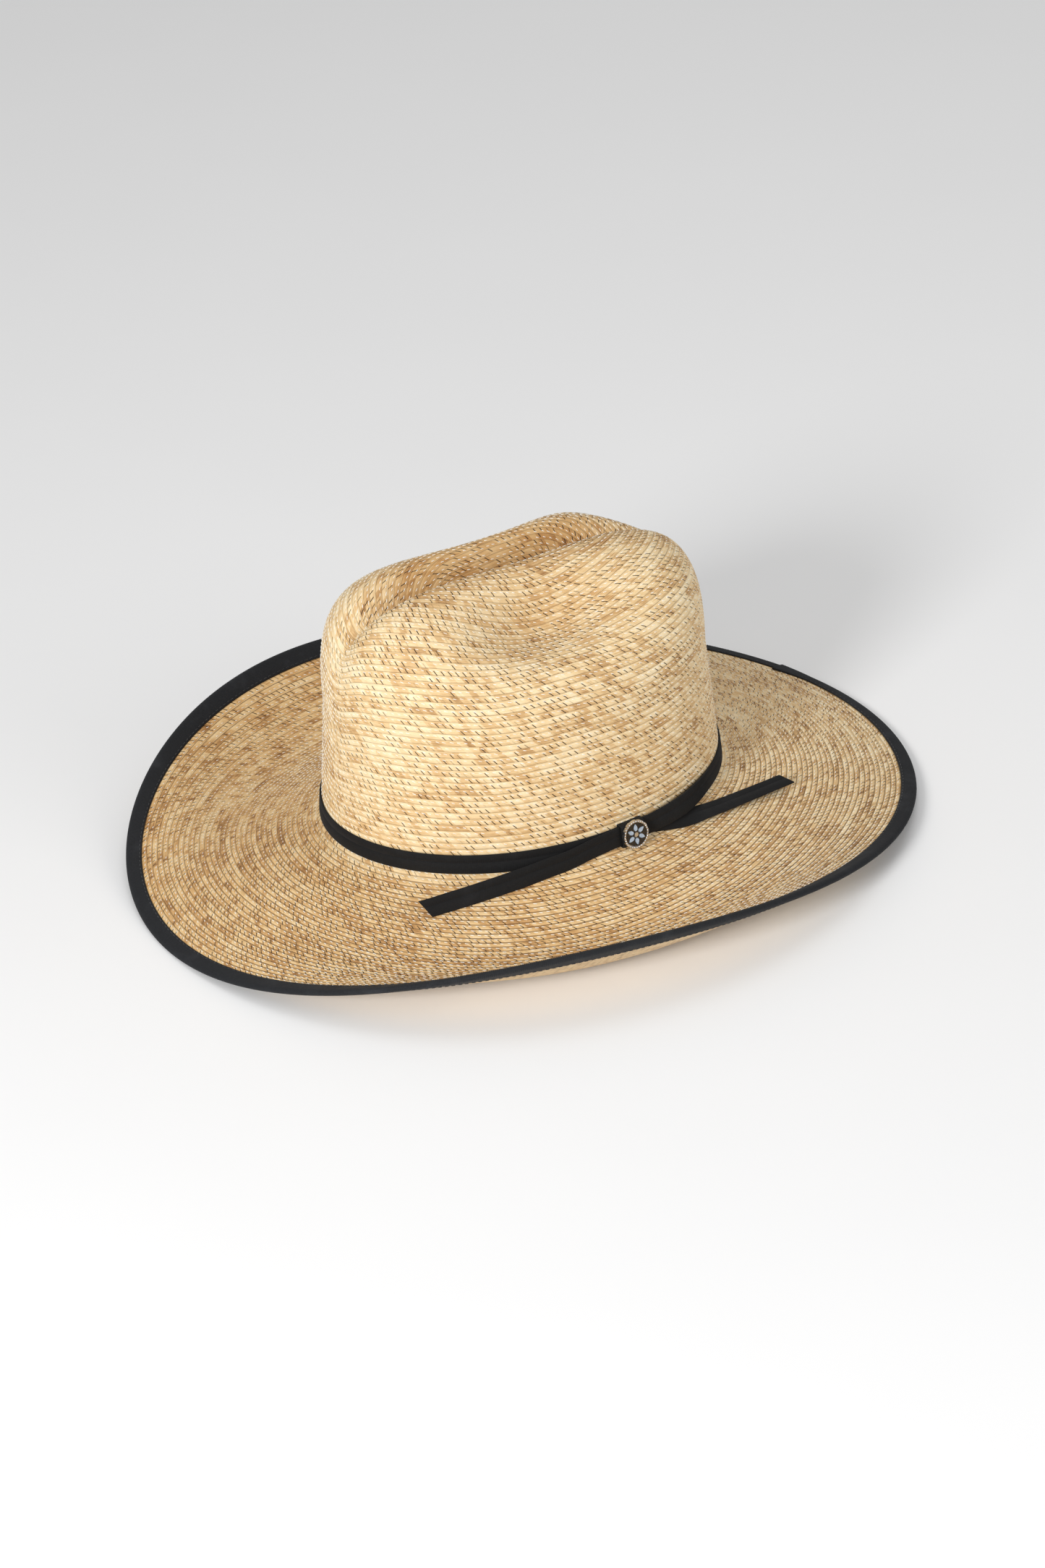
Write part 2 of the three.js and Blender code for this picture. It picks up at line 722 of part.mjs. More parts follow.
function conchoClutch() {
  const back = -CONCHO.postLength + 0.05;
  const washer = toSolid(disc(CONCHO.clutchRadius, CONCHO.clutchThickness, back, 24));
  const bore = toSolid(disc(CONCHO.postRadius + CLEARANCE, 3, -3, 20));
  return toGeometry(washer.subtract(bore));
}

// ---- assembly --------------------------------------------------------------------------------------

function piece(parent, name, geometry, finish) {
  const mesh = new THREE.Mesh(geometry, finish);
  mesh.name = name;
  parent.add(mesh);
}

const hat = new THREE.Group();
hat.position.z = -STANDING_HEIGHT;

const body = new THREE.Group();
piece(body, "straw_body", strawBody(), straw);
piece(body, "brim_binding", brimBinding(), grosgrain);
piece(body, "binding_thread_top", bindingThread(1), blackThread);
piece(body, "binding_thread_under", bindingThread(-1), blackThread);
piece(body, "brim_wire", brimWire(), wireSteel);
piece(body, "brim_wire_ferrule", wireFerrule(), wireSteel);
piece(body, "sweatband", sweatband(), sweatCloth);
piece(body, "sweatband_reed", sweatbandReed(), sweatCloth);
piece(body, "sweatband_seam_tape", seamTape(), blackThread);
piece(body, "size_label", sizeLabel(), whiteCloth);
hat.add(body);

const band = new THREE.Group();
piece(band, "band_ribbon", bandRibbon(), grosgrain);
piece(band, "band_keeper", keeperLoop(), grosgrain);
hat.add(band);

const concho = new THREE.Group();
concho.applyMatrix4(conchoPlace(KEEPER.outer + CLEARANCE));
piece(concho, "concho_frame", conchoFrame(), silver);
piece(concho, "concho_enamel", conchoEnamel(), enamel);
piece(concho, "concho_clutch", conchoClutch(), silver);
for (let k = 0; k < CONCHO.petals; k++) {
  const petal = petalPrism(k, 0, CONCHO.petalThickness, BOWL_FLOOR);
  piece(concho, `concho_inlay_${k + 1}`, petal, inlay);
}
band.add(concho);

const group = new THREE.Group();
group.add(hat);

export default group;
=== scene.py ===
# Looks of a western straw hat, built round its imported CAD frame.
# Shapes are worked out in millimetres above the plane where the crown meets the
# brim, with -Y the front and +X the wearer's left, and stored in metres.
import json
import math

import bpy
import numpy as np
from mathutils import Matrix, Vector


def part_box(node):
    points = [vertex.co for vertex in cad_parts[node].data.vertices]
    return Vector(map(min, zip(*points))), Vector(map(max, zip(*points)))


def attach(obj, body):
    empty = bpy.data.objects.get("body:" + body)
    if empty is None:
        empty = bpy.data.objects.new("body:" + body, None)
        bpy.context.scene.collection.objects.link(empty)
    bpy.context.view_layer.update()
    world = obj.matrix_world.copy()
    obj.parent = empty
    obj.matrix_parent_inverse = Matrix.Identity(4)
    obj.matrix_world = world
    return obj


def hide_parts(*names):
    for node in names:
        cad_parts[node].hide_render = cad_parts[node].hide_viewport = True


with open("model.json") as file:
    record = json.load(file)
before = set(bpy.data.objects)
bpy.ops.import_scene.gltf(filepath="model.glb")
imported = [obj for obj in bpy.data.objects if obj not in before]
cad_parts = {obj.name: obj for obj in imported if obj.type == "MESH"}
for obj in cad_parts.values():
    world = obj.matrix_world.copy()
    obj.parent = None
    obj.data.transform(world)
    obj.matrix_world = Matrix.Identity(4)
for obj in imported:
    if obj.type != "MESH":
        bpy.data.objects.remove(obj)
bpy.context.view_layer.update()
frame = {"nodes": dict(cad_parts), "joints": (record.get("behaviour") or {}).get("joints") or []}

TAU = 2 * math.pi
MM = 0.001
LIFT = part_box("sweatband")[0][2] / MM - 0.8  # height of the shaping plane above the table

# ---- camera ------------------------------------------------------------------

CAMERA = {
    "azimuth": 62.2245,  # degrees round from the front, and above the horizon
    "elevation": 29.196,
    "roll": -4.3215,
    "distance": 2117.3,
    "aim": (-2.34, 28.6),  # how far the aim lies right of and above the hat's axis
    "aim_height": 30,
    "lens": 95.12,
}


def add_camera():
    azimuth, elevation = (math.radians(CAMERA[k]) for k in ("azimuth", "elevation"))
    back = Vector((
        math.sin(azimuth) * math.cos(elevation),
        -math.cos(azimuth) * math.cos(elevation),
        math.sin(elevation),
    ))
    level = Vector((math.cos(azimuth), math.sin(azimuth), 0))
    turned = Matrix.Rotation(math.radians(CAMERA["roll"]), 3, back)
    right, up = turned @ level, turned @ back.cross(level)
    aim_right, aim_up = CAMERA["aim"]
    place = Vector((0, 0, CAMERA["aim_height"] + LIFT)) + back * CAMERA["distance"]
    place -= right * aim_right + up * aim_up
    data = bpy.data.cameras.new("camera")
    data.lens = CAMERA["lens"]
    data.sensor_width = 36
    data.clip_end = 50
    camera = bpy.data.objects.new("camera", data)
    bpy.context.scene.collection.objects.link(camera)
    camera.matrix_world = Matrix.Translation(place * MM) @ Matrix((right, up, back)).transposed().to_4x4()
    bpy.context.scene.camera = camera


# ---- the braid's middle surface, as in the CAD -------------------------------

HEAD_HALF_LENGTH, HEAD_HALF_WIDTH = 106.2, 87.7
CROWN = {
    "wall_share": 0.36, "wall_height": 65,
    "taper_front": 0.939, "taper_back": 0.966, "taper_side": 0.904,
    "dome_height": 67.6, "dome_exponent": 3.25, "tip_half_length": 18.5,
}
CREASE = {"depth": 31, "y": -10.7, "length": 67.7, "width": 8.8}
DENT = {"in": 16, "down": 24.5, "x": 55, "y": -4, "reach_x": 22.5, "reach_y": 47}
SAG = {"down": 9.9, "x": -25, "y": 88.7, "reach_x": 24, "reach_y": 30}
SHAPING = {"height": 84.5, "blend": 6.2}
BRIM = {
    "width": 102.3, "side_narrowing": 1.2, "front_fullness": 4.5,
    "dip": -24.5, "side_rise": 8.1, "forward_lift": 19.2,
    "flare_drop": 5, "flare_reach": 7,
    "slope_ends": 0.13, "slope_sides": 0.36, "slope_lean": 0.8,
    "roll_start": 0.28, "roll_end": 0.95,
}
TAPE_INNER, STRAW_EDGE = 0.923, 0.976  # shares of the brim's width
CROWN_ROWS, BRIM_ROWS = 62, 37  # turns of sewn braid


def smooth_window(value, centre, reach):
    return np.exp(-(((value - centre) / reach) ** 2))


def stack(x, y, z):
    return np.stack(np.broadcast_arrays(x, y, z), axis=-1).astype(float)


def unit(vectors):
    return vectors / np.maximum(np.linalg.norm(vectors, axis=-1, keepdims=True), 1e-12)


def oval_normal(angle):
    return unit(stack(HEAD_HALF_LENGTH * np.sin(angle), -HEAD_HALF_WIDTH * np.cos(angle), 0))


def crown_point(angle, share):
    s, c = np.sin(angle), np.cos(angle)
    rise = np.minimum(share / CROWN["wall_share"], 1)
    turn = np.maximum(share - CROWN["wall_share"], 0) / (1 - CROWN["wall_share"]) * (math.pi / 2)
    power = 2 / CROWN["dome_exponent"]
    spread, lift = np.abs(np.cos(turn)) ** power, np.abs(np.sin(turn)) ** power
    front, back = CROWN["taper_front"], CROWN["taper_back"]
    taper = (front + back) / 2 + (front - back) / 2 * c
    half_length = HEAD_HALF_LENGTH * (1 - (1 - taper) * rise)
    half_width = HEAD_HALF_WIDTH * (1 - (1 - CROWN["taper_side"]) * rise)
    x = half_width * spread * s
    y = -(CROWN["tip_half_length"] + (half_length - CROWN["tip_half_length"]) * spread) * c
    z = CROWN["wall_height"] * rise + CROWN["dome_height"] * lift
    return shape_crown(x, y, z)


def shape_crown(x, y, z):
    """Presses the centre crease and the two side dents into the open crown."""
    high = 1 / (1 + np.exp(-(z - SHAPING["height"]) / SHAPING["blend"]))
    crease = smooth_window(y, CREASE["y"], CREASE["length"]) * smooth_window(x, 0, CREASE["width"]) * high
    dent = smooth_window(y, DENT["y"], DENT["reach_y"]) * high
    dent = dent * smooth_window(np.abs(x), DENT["x"], DENT["reach_x"])
    sag = smooth_window(x, SAG["x"], SAG["reach_x"]) * smooth_window(y, SAG["y"], SAG["reach_y"]) * high
    down = CREASE["depth"] * crease + DENT["down"] * dent + SAG["down"] * sag
    return stack(x - DENT["in"] * dent * np.sign(x), y, z - down)


def brim_width(angle):
    side = np.sin(angle) ** 2
    return BRIM["width"] - BRIM["side_narrowing"] * side + BRIM["front_fullness"] * side * np.cos(angle)


def brim_edge_height(angle):
    side = np.sin(angle) ** 2
    rise = (BRIM["side_rise"] - BRIM["dip"]) * side
    return BRIM["dip"] + rise + BRIM["forward_lift"] * side * np.cos(angle)


def brim_slope(angle):
    lean = 1 + BRIM["slope_lean"] * np.cos(angle)
    return BRIM["slope_ends"] + (BRIM["slope_sides"] - BRIM["slope_ends"]) * np.sin(angle) ** 2 * lean


def roll_ramp(share):
    """Height of the roll's ramp: 0 up to its start, 1 at the edge."""
    span = BRIM["roll_end"] - BRIM["roll_start"]

    def height(at):
        t = np.clip((at - BRIM["roll_start"]) / span, 0, 1)
        return span * (t**3 - t**4 / 2) + np.maximum(at - BRIM["roll_end"], 0)

    return height(share) / height(1)


def brim_point(angle, distance):
    """A point of the brim, at a distance out from the head oval."""
    width = brim_width(angle)

    def fall(out):
        return BRIM["flare_drop"] * (1 - np.exp(-out / BRIM["flare_reach"])) + brim_slope(angle) * out

    z = (brim_edge_height(angle) + fall(width)) * roll_ramp(distance / width) - fall(distance)
    foot = stack(HEAD_HALF_WIDTH * np.sin(angle), -HEAD_HALF_LENGTH * np.cos(angle), z)
    return foot + oval_normal(angle) * np.asarray(distance)[..., None]


def off_wall(angle, off, height):
    """A point outside the crown's wall, or inside it where off is negative."""
    share = np.maximum(height, 0) / CROWN["wall_height"] * CROWN["wall_share"]
    wall = crown_point(angle, share)
    wall[..., 2] = height
    return wall + oval_normal(angle) * np.asarray(off)[..., None]


# ---- meshes ------------------------------------------------------------------

RANDOM = np.random.default_rng(11)


def to_metres(points):
    return (np.asarray(points, float).reshape(-1, 3) + (0, 0, LIFT)) * MM


def add_piece(name, points, faces, body, materials, uvs=None, face_materials=None):
    """A mesh in the CAD frame, riding on a body. Points are in millimetres, faces all of one size."""
    faces = np.asarray(faces, np.int64)
    mesh = bpy.data.meshes.new(name)
    points = to_metres(points)
    mesh.vertices.add(len(points))
    mesh.vertices.foreach_set("co", points.ravel())
    mesh.loops.add(faces.size)
    mesh.loops.foreach_set("vertex_index", faces.ravel().astype(np.int32))
    mesh.polygons.add(len(faces))
    starts = np.arange(0, faces.size, faces.shape[1], dtype=np.int32)
    mesh.polygons.foreach_set("loop_start", starts)
    mesh.polygons.foreach_set("use_smooth", np.ones(len(faces), bool))
    for one in materials:
        mesh.materials.append(one)
    if face_materials is not None:
        mesh.polygons.foreach_set("material_index", np.asarray(face_materials, np.int32))
    if uvs is not None:
        layer = mesh.uv_layers.new(name="rows")
        layer.data.foreach_set("uv", np.asarray(uvs, float).ravel())
    mesh.update(calc_edges=True)
    mesh.validate()
    obj = bpy.data.objects.new(name, mesh)
    bpy.context.scene.collection.objects.link(obj)
    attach(obj, body)
    return obj


def ring_faces(around, across, closed):
    """Quads over sections that are closed loops of points. An open run gets no caps here."""
    i = np.arange(around if closed else around - 1)[:, None]
    j = np.arange(across)[None, :]
    after = (i + 1) % around
    beside = (j + 1) % across
    corners = [i * across + j, after * across + j, after * across + beside, i * across + beside]
    return np.stack([np.broadcast_to(c, (len(i), across)) for c in corners], -1).reshape(-1, 4)


def cap_faces(first, across, flip):
    """Quads that close one end of a run whose section has an even number of points, folded in pairs."""
    quads = []
    for k in range(across // 2 - 1):
        quad = [first + k, first + k + 1, first + across - 2 - k, first + across - 1 - k]
        quads.append(quad[::-1] if flip else quad)
    return np.array(quads)


def strip_faces(around, across):
    sides = ring_faces(around, across, closed=False)
    start = cap_faces(0, across, flip=False)
    end = cap_faces((around - 1) * across, across, flip=True)
    return np.concatenate([sides, start, end])


def strip_uvs(sections, faces):
    """Length along the run and length round the section, in millimetres, for each face corner."""
    around, across = sections.shape[:2]
    middle = sections.mean(1)
    steps = np.linalg.norm(np.diff(middle, axis=0), axis=1)
    along = np.concatenate([[0], np.cumsum(steps)])
    section = sections[0]
    sides = np.linalg.norm(np.diff(section, axis=0, append=section[:1]), axis=1)
    round_it = np.concatenate([[0], np.cumsum(sides)])
    i, j = np.divmod(faces, across)
    wraps = (j == 0) & (j.max(1, keepdims=True) == across - 1) & (np.ptp(j, axis=1)[:, None] > 1)
    return np.stack([along[i], np.where(wraps, round_it[-1], round_it[j])], -1)


# ---- materials ---------------------------------------------------------------


class Nodes:
    """A material's node tree, with short calls for the few kinds of node that the hat needs."""

    def __init__(self, name, roughness=0.6, metallic=0.0, **shader):
        self.material = bpy.data.materials.new(name)
        self.material.use_nodes = True
        self.tree = self.material.node_tree
        self.shader = next(n for n in self.tree.nodes if n.type == "BSDF_PRINCIPLED")
        self.shader.inputs["Roughness"].default_value = roughness
        self.shader.inputs["Metallic"].default_value = metallic
        for socket, value in shader.items():
            self.shader.inputs[socket.replace("_", " ")].default_value = value

    def add(self, kind, **settings):
        node = self.tree.nodes.new(kind)
        for key, value in settings.items():
            setattr(node, key, value)
        return node

    def put(self, socket, value):
        if isinstance(value, bpy.types.NodeSocket):
            self.tree.links.new(value, socket)
        else:
            socket.default_value = value

    def math(self, operation, *values, clamp=False):
        node = self.add("ShaderNodeMath", operation=operation, use_clamp=clamp)
        for socket, value in zip(node.inputs, values):
            self.put(socket, value)
        return node.outputs[0]

    def uv(self):
        node = self.add("ShaderNodeSeparateXYZ")
        self.put(node.inputs[0], self.add("ShaderNodeUVMap", uv_map="rows").outputs[0])
        return node.outputs[0], node.outputs[1]

    def place(self):
        return self.add("ShaderNodeTexCoord").outputs["Object"]

    def vector(self, x, y, z=0.0):
        node = self.add("ShaderNodeCombineXYZ")
        for socket, value in zip(node.inputs, (x, y, z)):
            self.put(socket, value)
        return node.outputs[0]

    def noise(self, vector, scale, detail=2.0, roughness=0.5, distortion=0.0):
        node = self.add("ShaderNodeTexNoise")
        self.put(node.inputs["Vector"], vector)
        for socket, value in (
            ("Scale", scale), ("Detail", detail), ("Roughness", roughness), ("Distortion", distortion),
        ):
            node.inputs[socket].default_value = value
        return node.outputs["Fac"]

    def random(self, vector):
        node = self.add("ShaderNodeTexWhiteNoise", noise_dimensions="3D")
        self.put(node.inputs["Vector"], vector)
        return node.outputs["Value"]

    def ramp(self, value, *stops):
        node = self.add("ShaderNodeValToRGB")
        elements = node.color_ramp.elements
        while len(elements) < len(stops):
            elements.new(0.5)
        for element, (at, colour) in zip(elements, stops):
            element.position = at
            element.color = (*colour, 1)
        self.put(node.inputs[0], value)
        return node.outputs[0]

    def step(self, value, low, high):
        """0 below low and 1 above high."""
        node = self.add("ShaderNodeMapRange", interpolation_type="SMOOTHSTEP")
        for socket, number in zip(node.inputs, (value, low, high, 0.0, 1.0)):
            self.put(socket, number)
        return node.outputs[0]

    def mix(self, share, first, second, blend="MIX"):
        node = self.add("ShaderNodeMix", data_type="RGBA", blend_type=blend)
        self.put(node.inputs[0], share)
        self.put(node.inputs[6], first if isinstance(first, bpy.types.NodeSocket) else (*first, 1))
        self.put(node.inputs[7], second if isinstance(second, bpy.types.NodeSocket) else (*second, 1))
        return node.outputs[2]

    def painted_shade_mask(self, x, y, z):
        """Mask of painted shade: 1 in the crown's centre crease and 0.5 in its two side dents, fading to 0
        round them.
        """
        out = self.math("ABSOLUTE", x)
        crease = self.math("SUBTRACT", 1.0, self.step(out, 0.010, 0.034))
        dent = self.math("SUBTRACT", 0.5, self.math("MULTIPLY", self.step(out, 0.040, 0.070), 0.5))
        dent = self.math("MULTIPLY", self.step(out, 0.018, 0.034), dent)
        near = self.math("SUBTRACT", 1.0, self.step(self.math("ABSOLUTE", y), 0.010, 0.070))
        along = self.math("SUBTRACT", 1.0, self.step(self.math("ABSOLUTE", y), 0.045, 0.085))
        both = self.math("MAXIMUM", self.math("MULTIPLY", crease, along), self.math("MULTIPLY", dent, near))
        return self.math("MULTIPLY", both, self.step(z, 0.095, 0.125))

    def finish(self, colour, bump=None, depth=0.0002, roughness=None):
        self.put(self.shader.inputs["Base Color"], colour)
        if roughness is not None:
            self.put(self.shader.inputs["Roughness"], roughness)
        if bump is not None:
            node = self.add("ShaderNodeBump")
            node.inputs["Strength"].default_value = 1.0
            node.inputs["Distance"].default_value = depth
            self.put(node.inputs["Height"], bump)
            self.put(self.shader.inputs["Normal"], node.outputs[0])
        return self.material


SLIT_PITCH = 3.5  # millimetres of row between the slits of the plait
SLIT_LEAN = 3.0  # millimetres that a slit runs back along its row from one edge to the other
CREAM = (0.93, 0.76, 0.49)
STRAW_GOLD = (0.82, 0.60, 0.32)
TAN = (0.66, 0.415, 0.185)
BROWN = (0.36, 0.19, 0.07)
RIB_PITCH = 0.95  # millimetres from one rib of the grosgrain to the next


def braid_material(name, pale, groove, slits):
    """Sewn palm braid: strips of varied straw, thin shadow lines between rows, and the plait's slits."""
    n = Nodes(name, roughness=0.62, Specular_IOR_Level=0.35)
    along, rows = n.uv()
    row = n.math("FLOOR", rows)
    across = n.math("FRACT", rows)
    on_brim = n.step(rows, CROWN_ROWS - 1.0, CROWN_ROWS + 3.0)
    # tone of each strip of palm, some tens of millimetres of row at a time
    strip = n.noise(n.vector(n.math("MULTIPLY", along, 0.030), n.math("MULTIPLY", row, 3.71)), 1.0, 3.0, 0.6)
    patch = n.noise(n.place(), 13.0, 2.0, 0.5)
    fibre = n.noise(n.vector(n.math("MULTIPLY", along, 0.10), n.math("MULTIPLY", rows, 8.0)), 1.0, 3.0, 0.6)
    # the plait's strands lean back as they cross the row, so its slits and its small tone steps do too
    lean = n.math("DIVIDE", n.math("MULTIPLY_ADD", across, -SLIT_LEAN, along), SLIT_PITCH)
    strand = n.math("FLOOR", lean)
    fleck = n.random(n.vector(strand, row, 0.5))
    tone = n.math("MULTIPLY_ADD", strip, 0.50, n.math("MULTIPLY_ADD", patch, 0.10, 0.055))
    tone = n.math("ADD", tone, n.math("MULTIPLY_ADD", fibre, 0.42, -0.07))
    tone = n.math("ADD", tone, n.math("MULTIPLY_ADD", fleck, 0.16, -0.08))
    tone = n.math("SUBTRACT", tone, n.math("MULTIPLY", on_brim, 0.04))
    colour = n.ramp(tone, (0.31, BROWN), (0.40, TAN), (0.49, STRAW_GOLD), (0.62, CREAM), (0.85, CREAM))
    colour = n.mix(pale, colour, (0.78, 0.68, 0.52))
    # the brim is a little darker and yellower than the crown, least at the back
    split = n.add("ShaderNodeSeparateXYZ")
    n.put(split.inputs[0], n.place())
    sideways, forwards, height = split.outputs
    brim_darkened = n.math("MULTIPLY", on_brim, n.math("SUBTRACT", 1.0, n.step(forwards, -0.02, 0.12)))
    colour = n.mix(n.math("MULTIPLY", brim_darkened, 0.8), colour, (0.96, 0.86, 0.72), "MULTIPLY")
    # painted shade: the crease and the dents are darkened in colour, which deepens the shade that the lights
    # give them
    colour = n.mix(n.painted_shade_mask(sideways, forwards, height), colour, (0.72, 0.59, 0.44), "MULTIPLY")
    # shadow line where one row dips under the next
    edge = n.math("MAXIMUM", n.step(across, 0.86, 1.0), n.math("SUBTRACT", 1.0, n.step(across, 0.0, 0.08)))
    ragged = n.math("MULTIPLY", edge, n.math("MULTIPLY_ADD", strip, 1.2, 0.3), clamp=True)
    strength = n.math("MULTIPLY", n.math("MULTIPLY_ADD", on_brim, 0.45, 0.55), groove)
    colour = n.mix(n.math("MULTIPLY", ragged, strength), colour, (0.13, 0.070, 0.028))
    near = n.math("ABSOLUTE", n.math("SUBTRACT", n.math("FRACT", lean), 0.5))
    slit = n.math("SUBTRACT", 1.0, n.step(near, 0.045, 0.10))
    slit = n.math("MULTIPLY", slit, n.step(across, 0.30, 0.42))
    slit = n.math("MULTIPLY", slit, n.step(n.random(n.vector(strand, row, 2.5)), 0.25, 0.7))
    colour = n.mix(n.math("MULTIPLY", slit, slits), colour, (0.06, 0.035, 0.016))
    bump = n.math("MULTIPLY_ADD", fibre, 0.8, n.math("MULTIPLY", slit, -1.3))
    return n.finish(colour, bump, 0.00025, n.math("MULTIPLY_ADD", fibre, 0.25, 0.45))


def ribbon_material(name, dark, light):
    """Black grosgrain: the ribs are in the mesh, the yarns are here."""
    n = Nodes(name, roughness=0.7, Sheen_Weight=0.04, Sheen_Roughness=0.5, Specular_IOR_Level=0.22)
    along, across = n.uv()
    yarn = n.math("SINE", n.math("MULTIPLY", across, TAU / 0.42))
    offset = n.math("SINE", n.math("MULTIPLY", along, math.pi / RIB_PITCH))
    weave = n.math("MULTIPLY", yarn, offset)
    dust = n.noise(n.place(), 900.0, 3.0, 0.6)
    wear = n.noise(n.place(), 60.0, 3.0, 0.6)
    shade = n.math("ADD", n.math("MULTIPLY_ADD", weave, 0.10, n.math("MULTIPLY", dust, 0.35)), 0.25)
    colour = n.ramp(shade, (0.2, dark), (0.75, light))
    worn = tuple(1.8 * part for part in light)
    colour = n.mix(n.math("MULTIPLY", n.step(wear, 0.5, 0.75), 0.3), colour, worn)
    return n.finish(colour, n.math("MULTIPLY_ADD", weave, 0.5, dust), 0.00008)


def thread_material(name, colour, dark):
    n = Nodes(name, roughness=0.6, Sheen_Weight=0.2)
    twist = n.noise(n.place(), 2600.0, 2.0, 0.6)
    tone = n.noise(n.place(), 90.0, 2.0, 0.5)
    base = n.mix(n.step(tone, 0.35, 0.7), dark, colour)
    return n.finish(base, twist, 0.00006)


def cloth_material(name, colour, dark, pitch):
    """Plain woven cloth, from coordinates that run along and up the piece in millimetres."""
    n = Nodes(name, roughness=0.85, Sheen_Weight=0.3)
    along, across = n.uv()
    warp = n.math("SINE", n.math("MULTIPLY", along, TAU / pitch))
    weft = n.math("SINE", n.math("MULTIPLY", across, TAU / pitch))
    weave = n.math("MULTIPLY", warp, weft)
    blotch = n.noise(n.place(), 70.0, 3.0, 0.6)
    shade = n.math("MULTIPLY_ADD", weave, 0.25, blotch)
    return n.finish(n.mix(n.step(shade, 0.2, 0.8), dark, colour), weave, 0.0001)


def silver_material(name):
    n = Nodes(name, roughness=0.24, metallic=1.0)
    dull = n.noise(n.place(), 420.0, 4.0, 0.65)
    scratch = n.noise(n.place(), 1900.0, 2.0, 0.5, 1.5)
    colour = n.mix(n.step(dull, 0.42, 0.68), (0.80, 0.81, 0.83), (0.52, 0.52, 0.53))
    return n.finish(colour, scratch, 0.00002, n.math("MULTIPLY_ADD", dull, 0.35, 0.08))


def enamel_material(name, colour, dark):
    n = Nodes(name, roughness=0.14, Coat_Weight=0.5, Coat_Roughness=0.05)
    cloud = n.noise(n.place(), 800.0, 3.0, 0.6)
    return n.finish(n.mix(n.step(cloud, 0.3, 0.7), dark, colour), cloud, 0.00002)


def wire_material(name):
    n = Nodes(name, roughness=0.35, metallic=1.0)
    drawn = n.noise(n.place(), 700.0, 3.0, 0.6)
    return n.finish(n.mix(drawn, (0.42, 0.43, 0.44), (0.25, 0.25, 0.26)), drawn, 0.00002)


def table_material(name):
    n = Nodes(name, roughness=0.9)
    grain = n.noise(n.place(), 6.0, 2.0, 0.5)
    return n.finish(n.mix(grain, (0.93, 0.93, 0.93), (0.95, 0.95, 0.95)))


STRAW_TOP = braid_material("straw_top", pale=0.0, groove=0.95, slits=1.0)
STRAW_UNDER = braid_material("straw_under", pale=0.55, groove=0.5, slits=0.3)
WHITE_THREAD = thread_material("white_thread", (0.96, 0.94, 0.89), (0.90, 0.84, 0.72))
BLACK_THREAD = thread_material("black_thread", (0.022, 0.022, 0.024), (0.008, 0.008, 0.009))
GROSGRAIN = ribbon_material("grosgrain", (0.003, 0.003, 0.003), (0.014, 0.014, 0.015))
EDGE_GROSGRAIN = ribbon_material("edge_grosgrain", (0.006, 0.006, 0.007), (0.028, 0.030, 0.034))
SWEAT_CLOTH = cloth_material("sweatband_cloth", (0.060, 0.055, 0.052), (0.030, 0.028, 0.027), pitch=1.1)
LABEL_CLOTH = cloth_material("label_cloth", (0.82, 0.79, 0.72), (0.68, 0.65, 0.58), pitch=0.6)
SILVER = silver_material("silver")
ENAMEL = enamel_material("black_enamel", (0.012, 0.012, 0.014), (0.004, 0.004, 0.005))
INLAY = enamel_material("pale_blue_inlay", (0.50, 0.60, 0.72), (0.34, 0.44, 0.56))
WIRE = wire_material("wire")


# ---- the braid ---------------------------------------------------------------

STATIONS = 336
HALF_STRAW = 0.8
# Height of a row's face across its width: it rises gently, then drops where it laps over the next.
TOP_PROFILE = ((0.0, -0.34), (0.18, 0.02), (0.55, 0.24), (0.90, 0.26))
UNDER_PROFILE = ((0.0, -0.16), (0.5, 0.16))
CROWN_RELIEF, BRIM_RELIEF = 0.62, 1.0


def row_positions(profile):
    """Row coordinate of each ring, from the tip's seam (0) to the brim's cut edge."""
    total = CROWN_ROWS + BRIM_ROWS
    rings = [row + at for row in range(total) for at, _ in profile]
    return np.array([*rings, total], float)


def middle_surface(rows):
    """Points of the braid's middle surface at row coordinates, shaped (ring, station, 3)."""
    angles = np.arange(STATIONS) / STATIONS * TAU
    points = np.empty((len(rows), STATIONS, 3))
    shares = np.linspace(1, 0, 700)
    on_crown = rows <= CROWN_ROWS
    for i, angle in enumerate(angles):
        fine = crown_point(angle, shares)
        travelled = np.concatenate([[0], np.cumsum(np.linalg.norm(np.diff(fine, axis=0), axis=1))])
        goal = rows[on_crown] / CROWN_ROWS * travelled[-1]
        for axis in range(3):
            points[on_crown, i, axis] = np.interp(goal, travelled, fine[:, axis])
        out = (rows[~on_crown] - CROWN_ROWS) / BRIM_ROWS * STRAW_EDGE * brim_width(angle)
        points[~on_crown, i] = brim_point(np.full(out.shape, angle), out)
    return points


def surface_normals(points):
    along = np.roll(points, -1, axis=1) - np.roll(points, 1, axis=1)
    outward = np.gradient(points, axis=0)
    normals = unit(np.cross(along, -outward))
    mirrored = normals[1][(-np.arange(STATIONS)) % STATIONS]
    normals[0] = unit(normals[1] + mirrored)
    return normals


def relief(rows, profile):
    """How far a ring stands off the smooth surface."""
    at = [p for p, _ in profile] + [1.0]
    height = [h for _, h in profile] + [profile[0][1]]
    amount = np.interp(rows % 1, at, height)
    amount[-1] = 0
    return amount * np.where(rows <= CROWN_ROWS, CROWN_RELIEF, BRIM_RELIEF)


def row_lengths(points, rows):
    """Length along each row, measured once for the whole row so that its stitches don't shear."""
    lengths = np.empty((CROWN_ROWS + BRIM_ROWS, STATIONS + 1))
    for row in range(CROWN_ROWS + BRIM_ROWS):
        ring = points[np.argmin(np.abs(rows - (row + 0.5)))]
        steps = np.linalg.norm(np.roll(ring, -1, axis=0) - ring, axis=1)
        lengths[row] = np.concatenate([[0], np.cumsum(steps)])
    return lengths


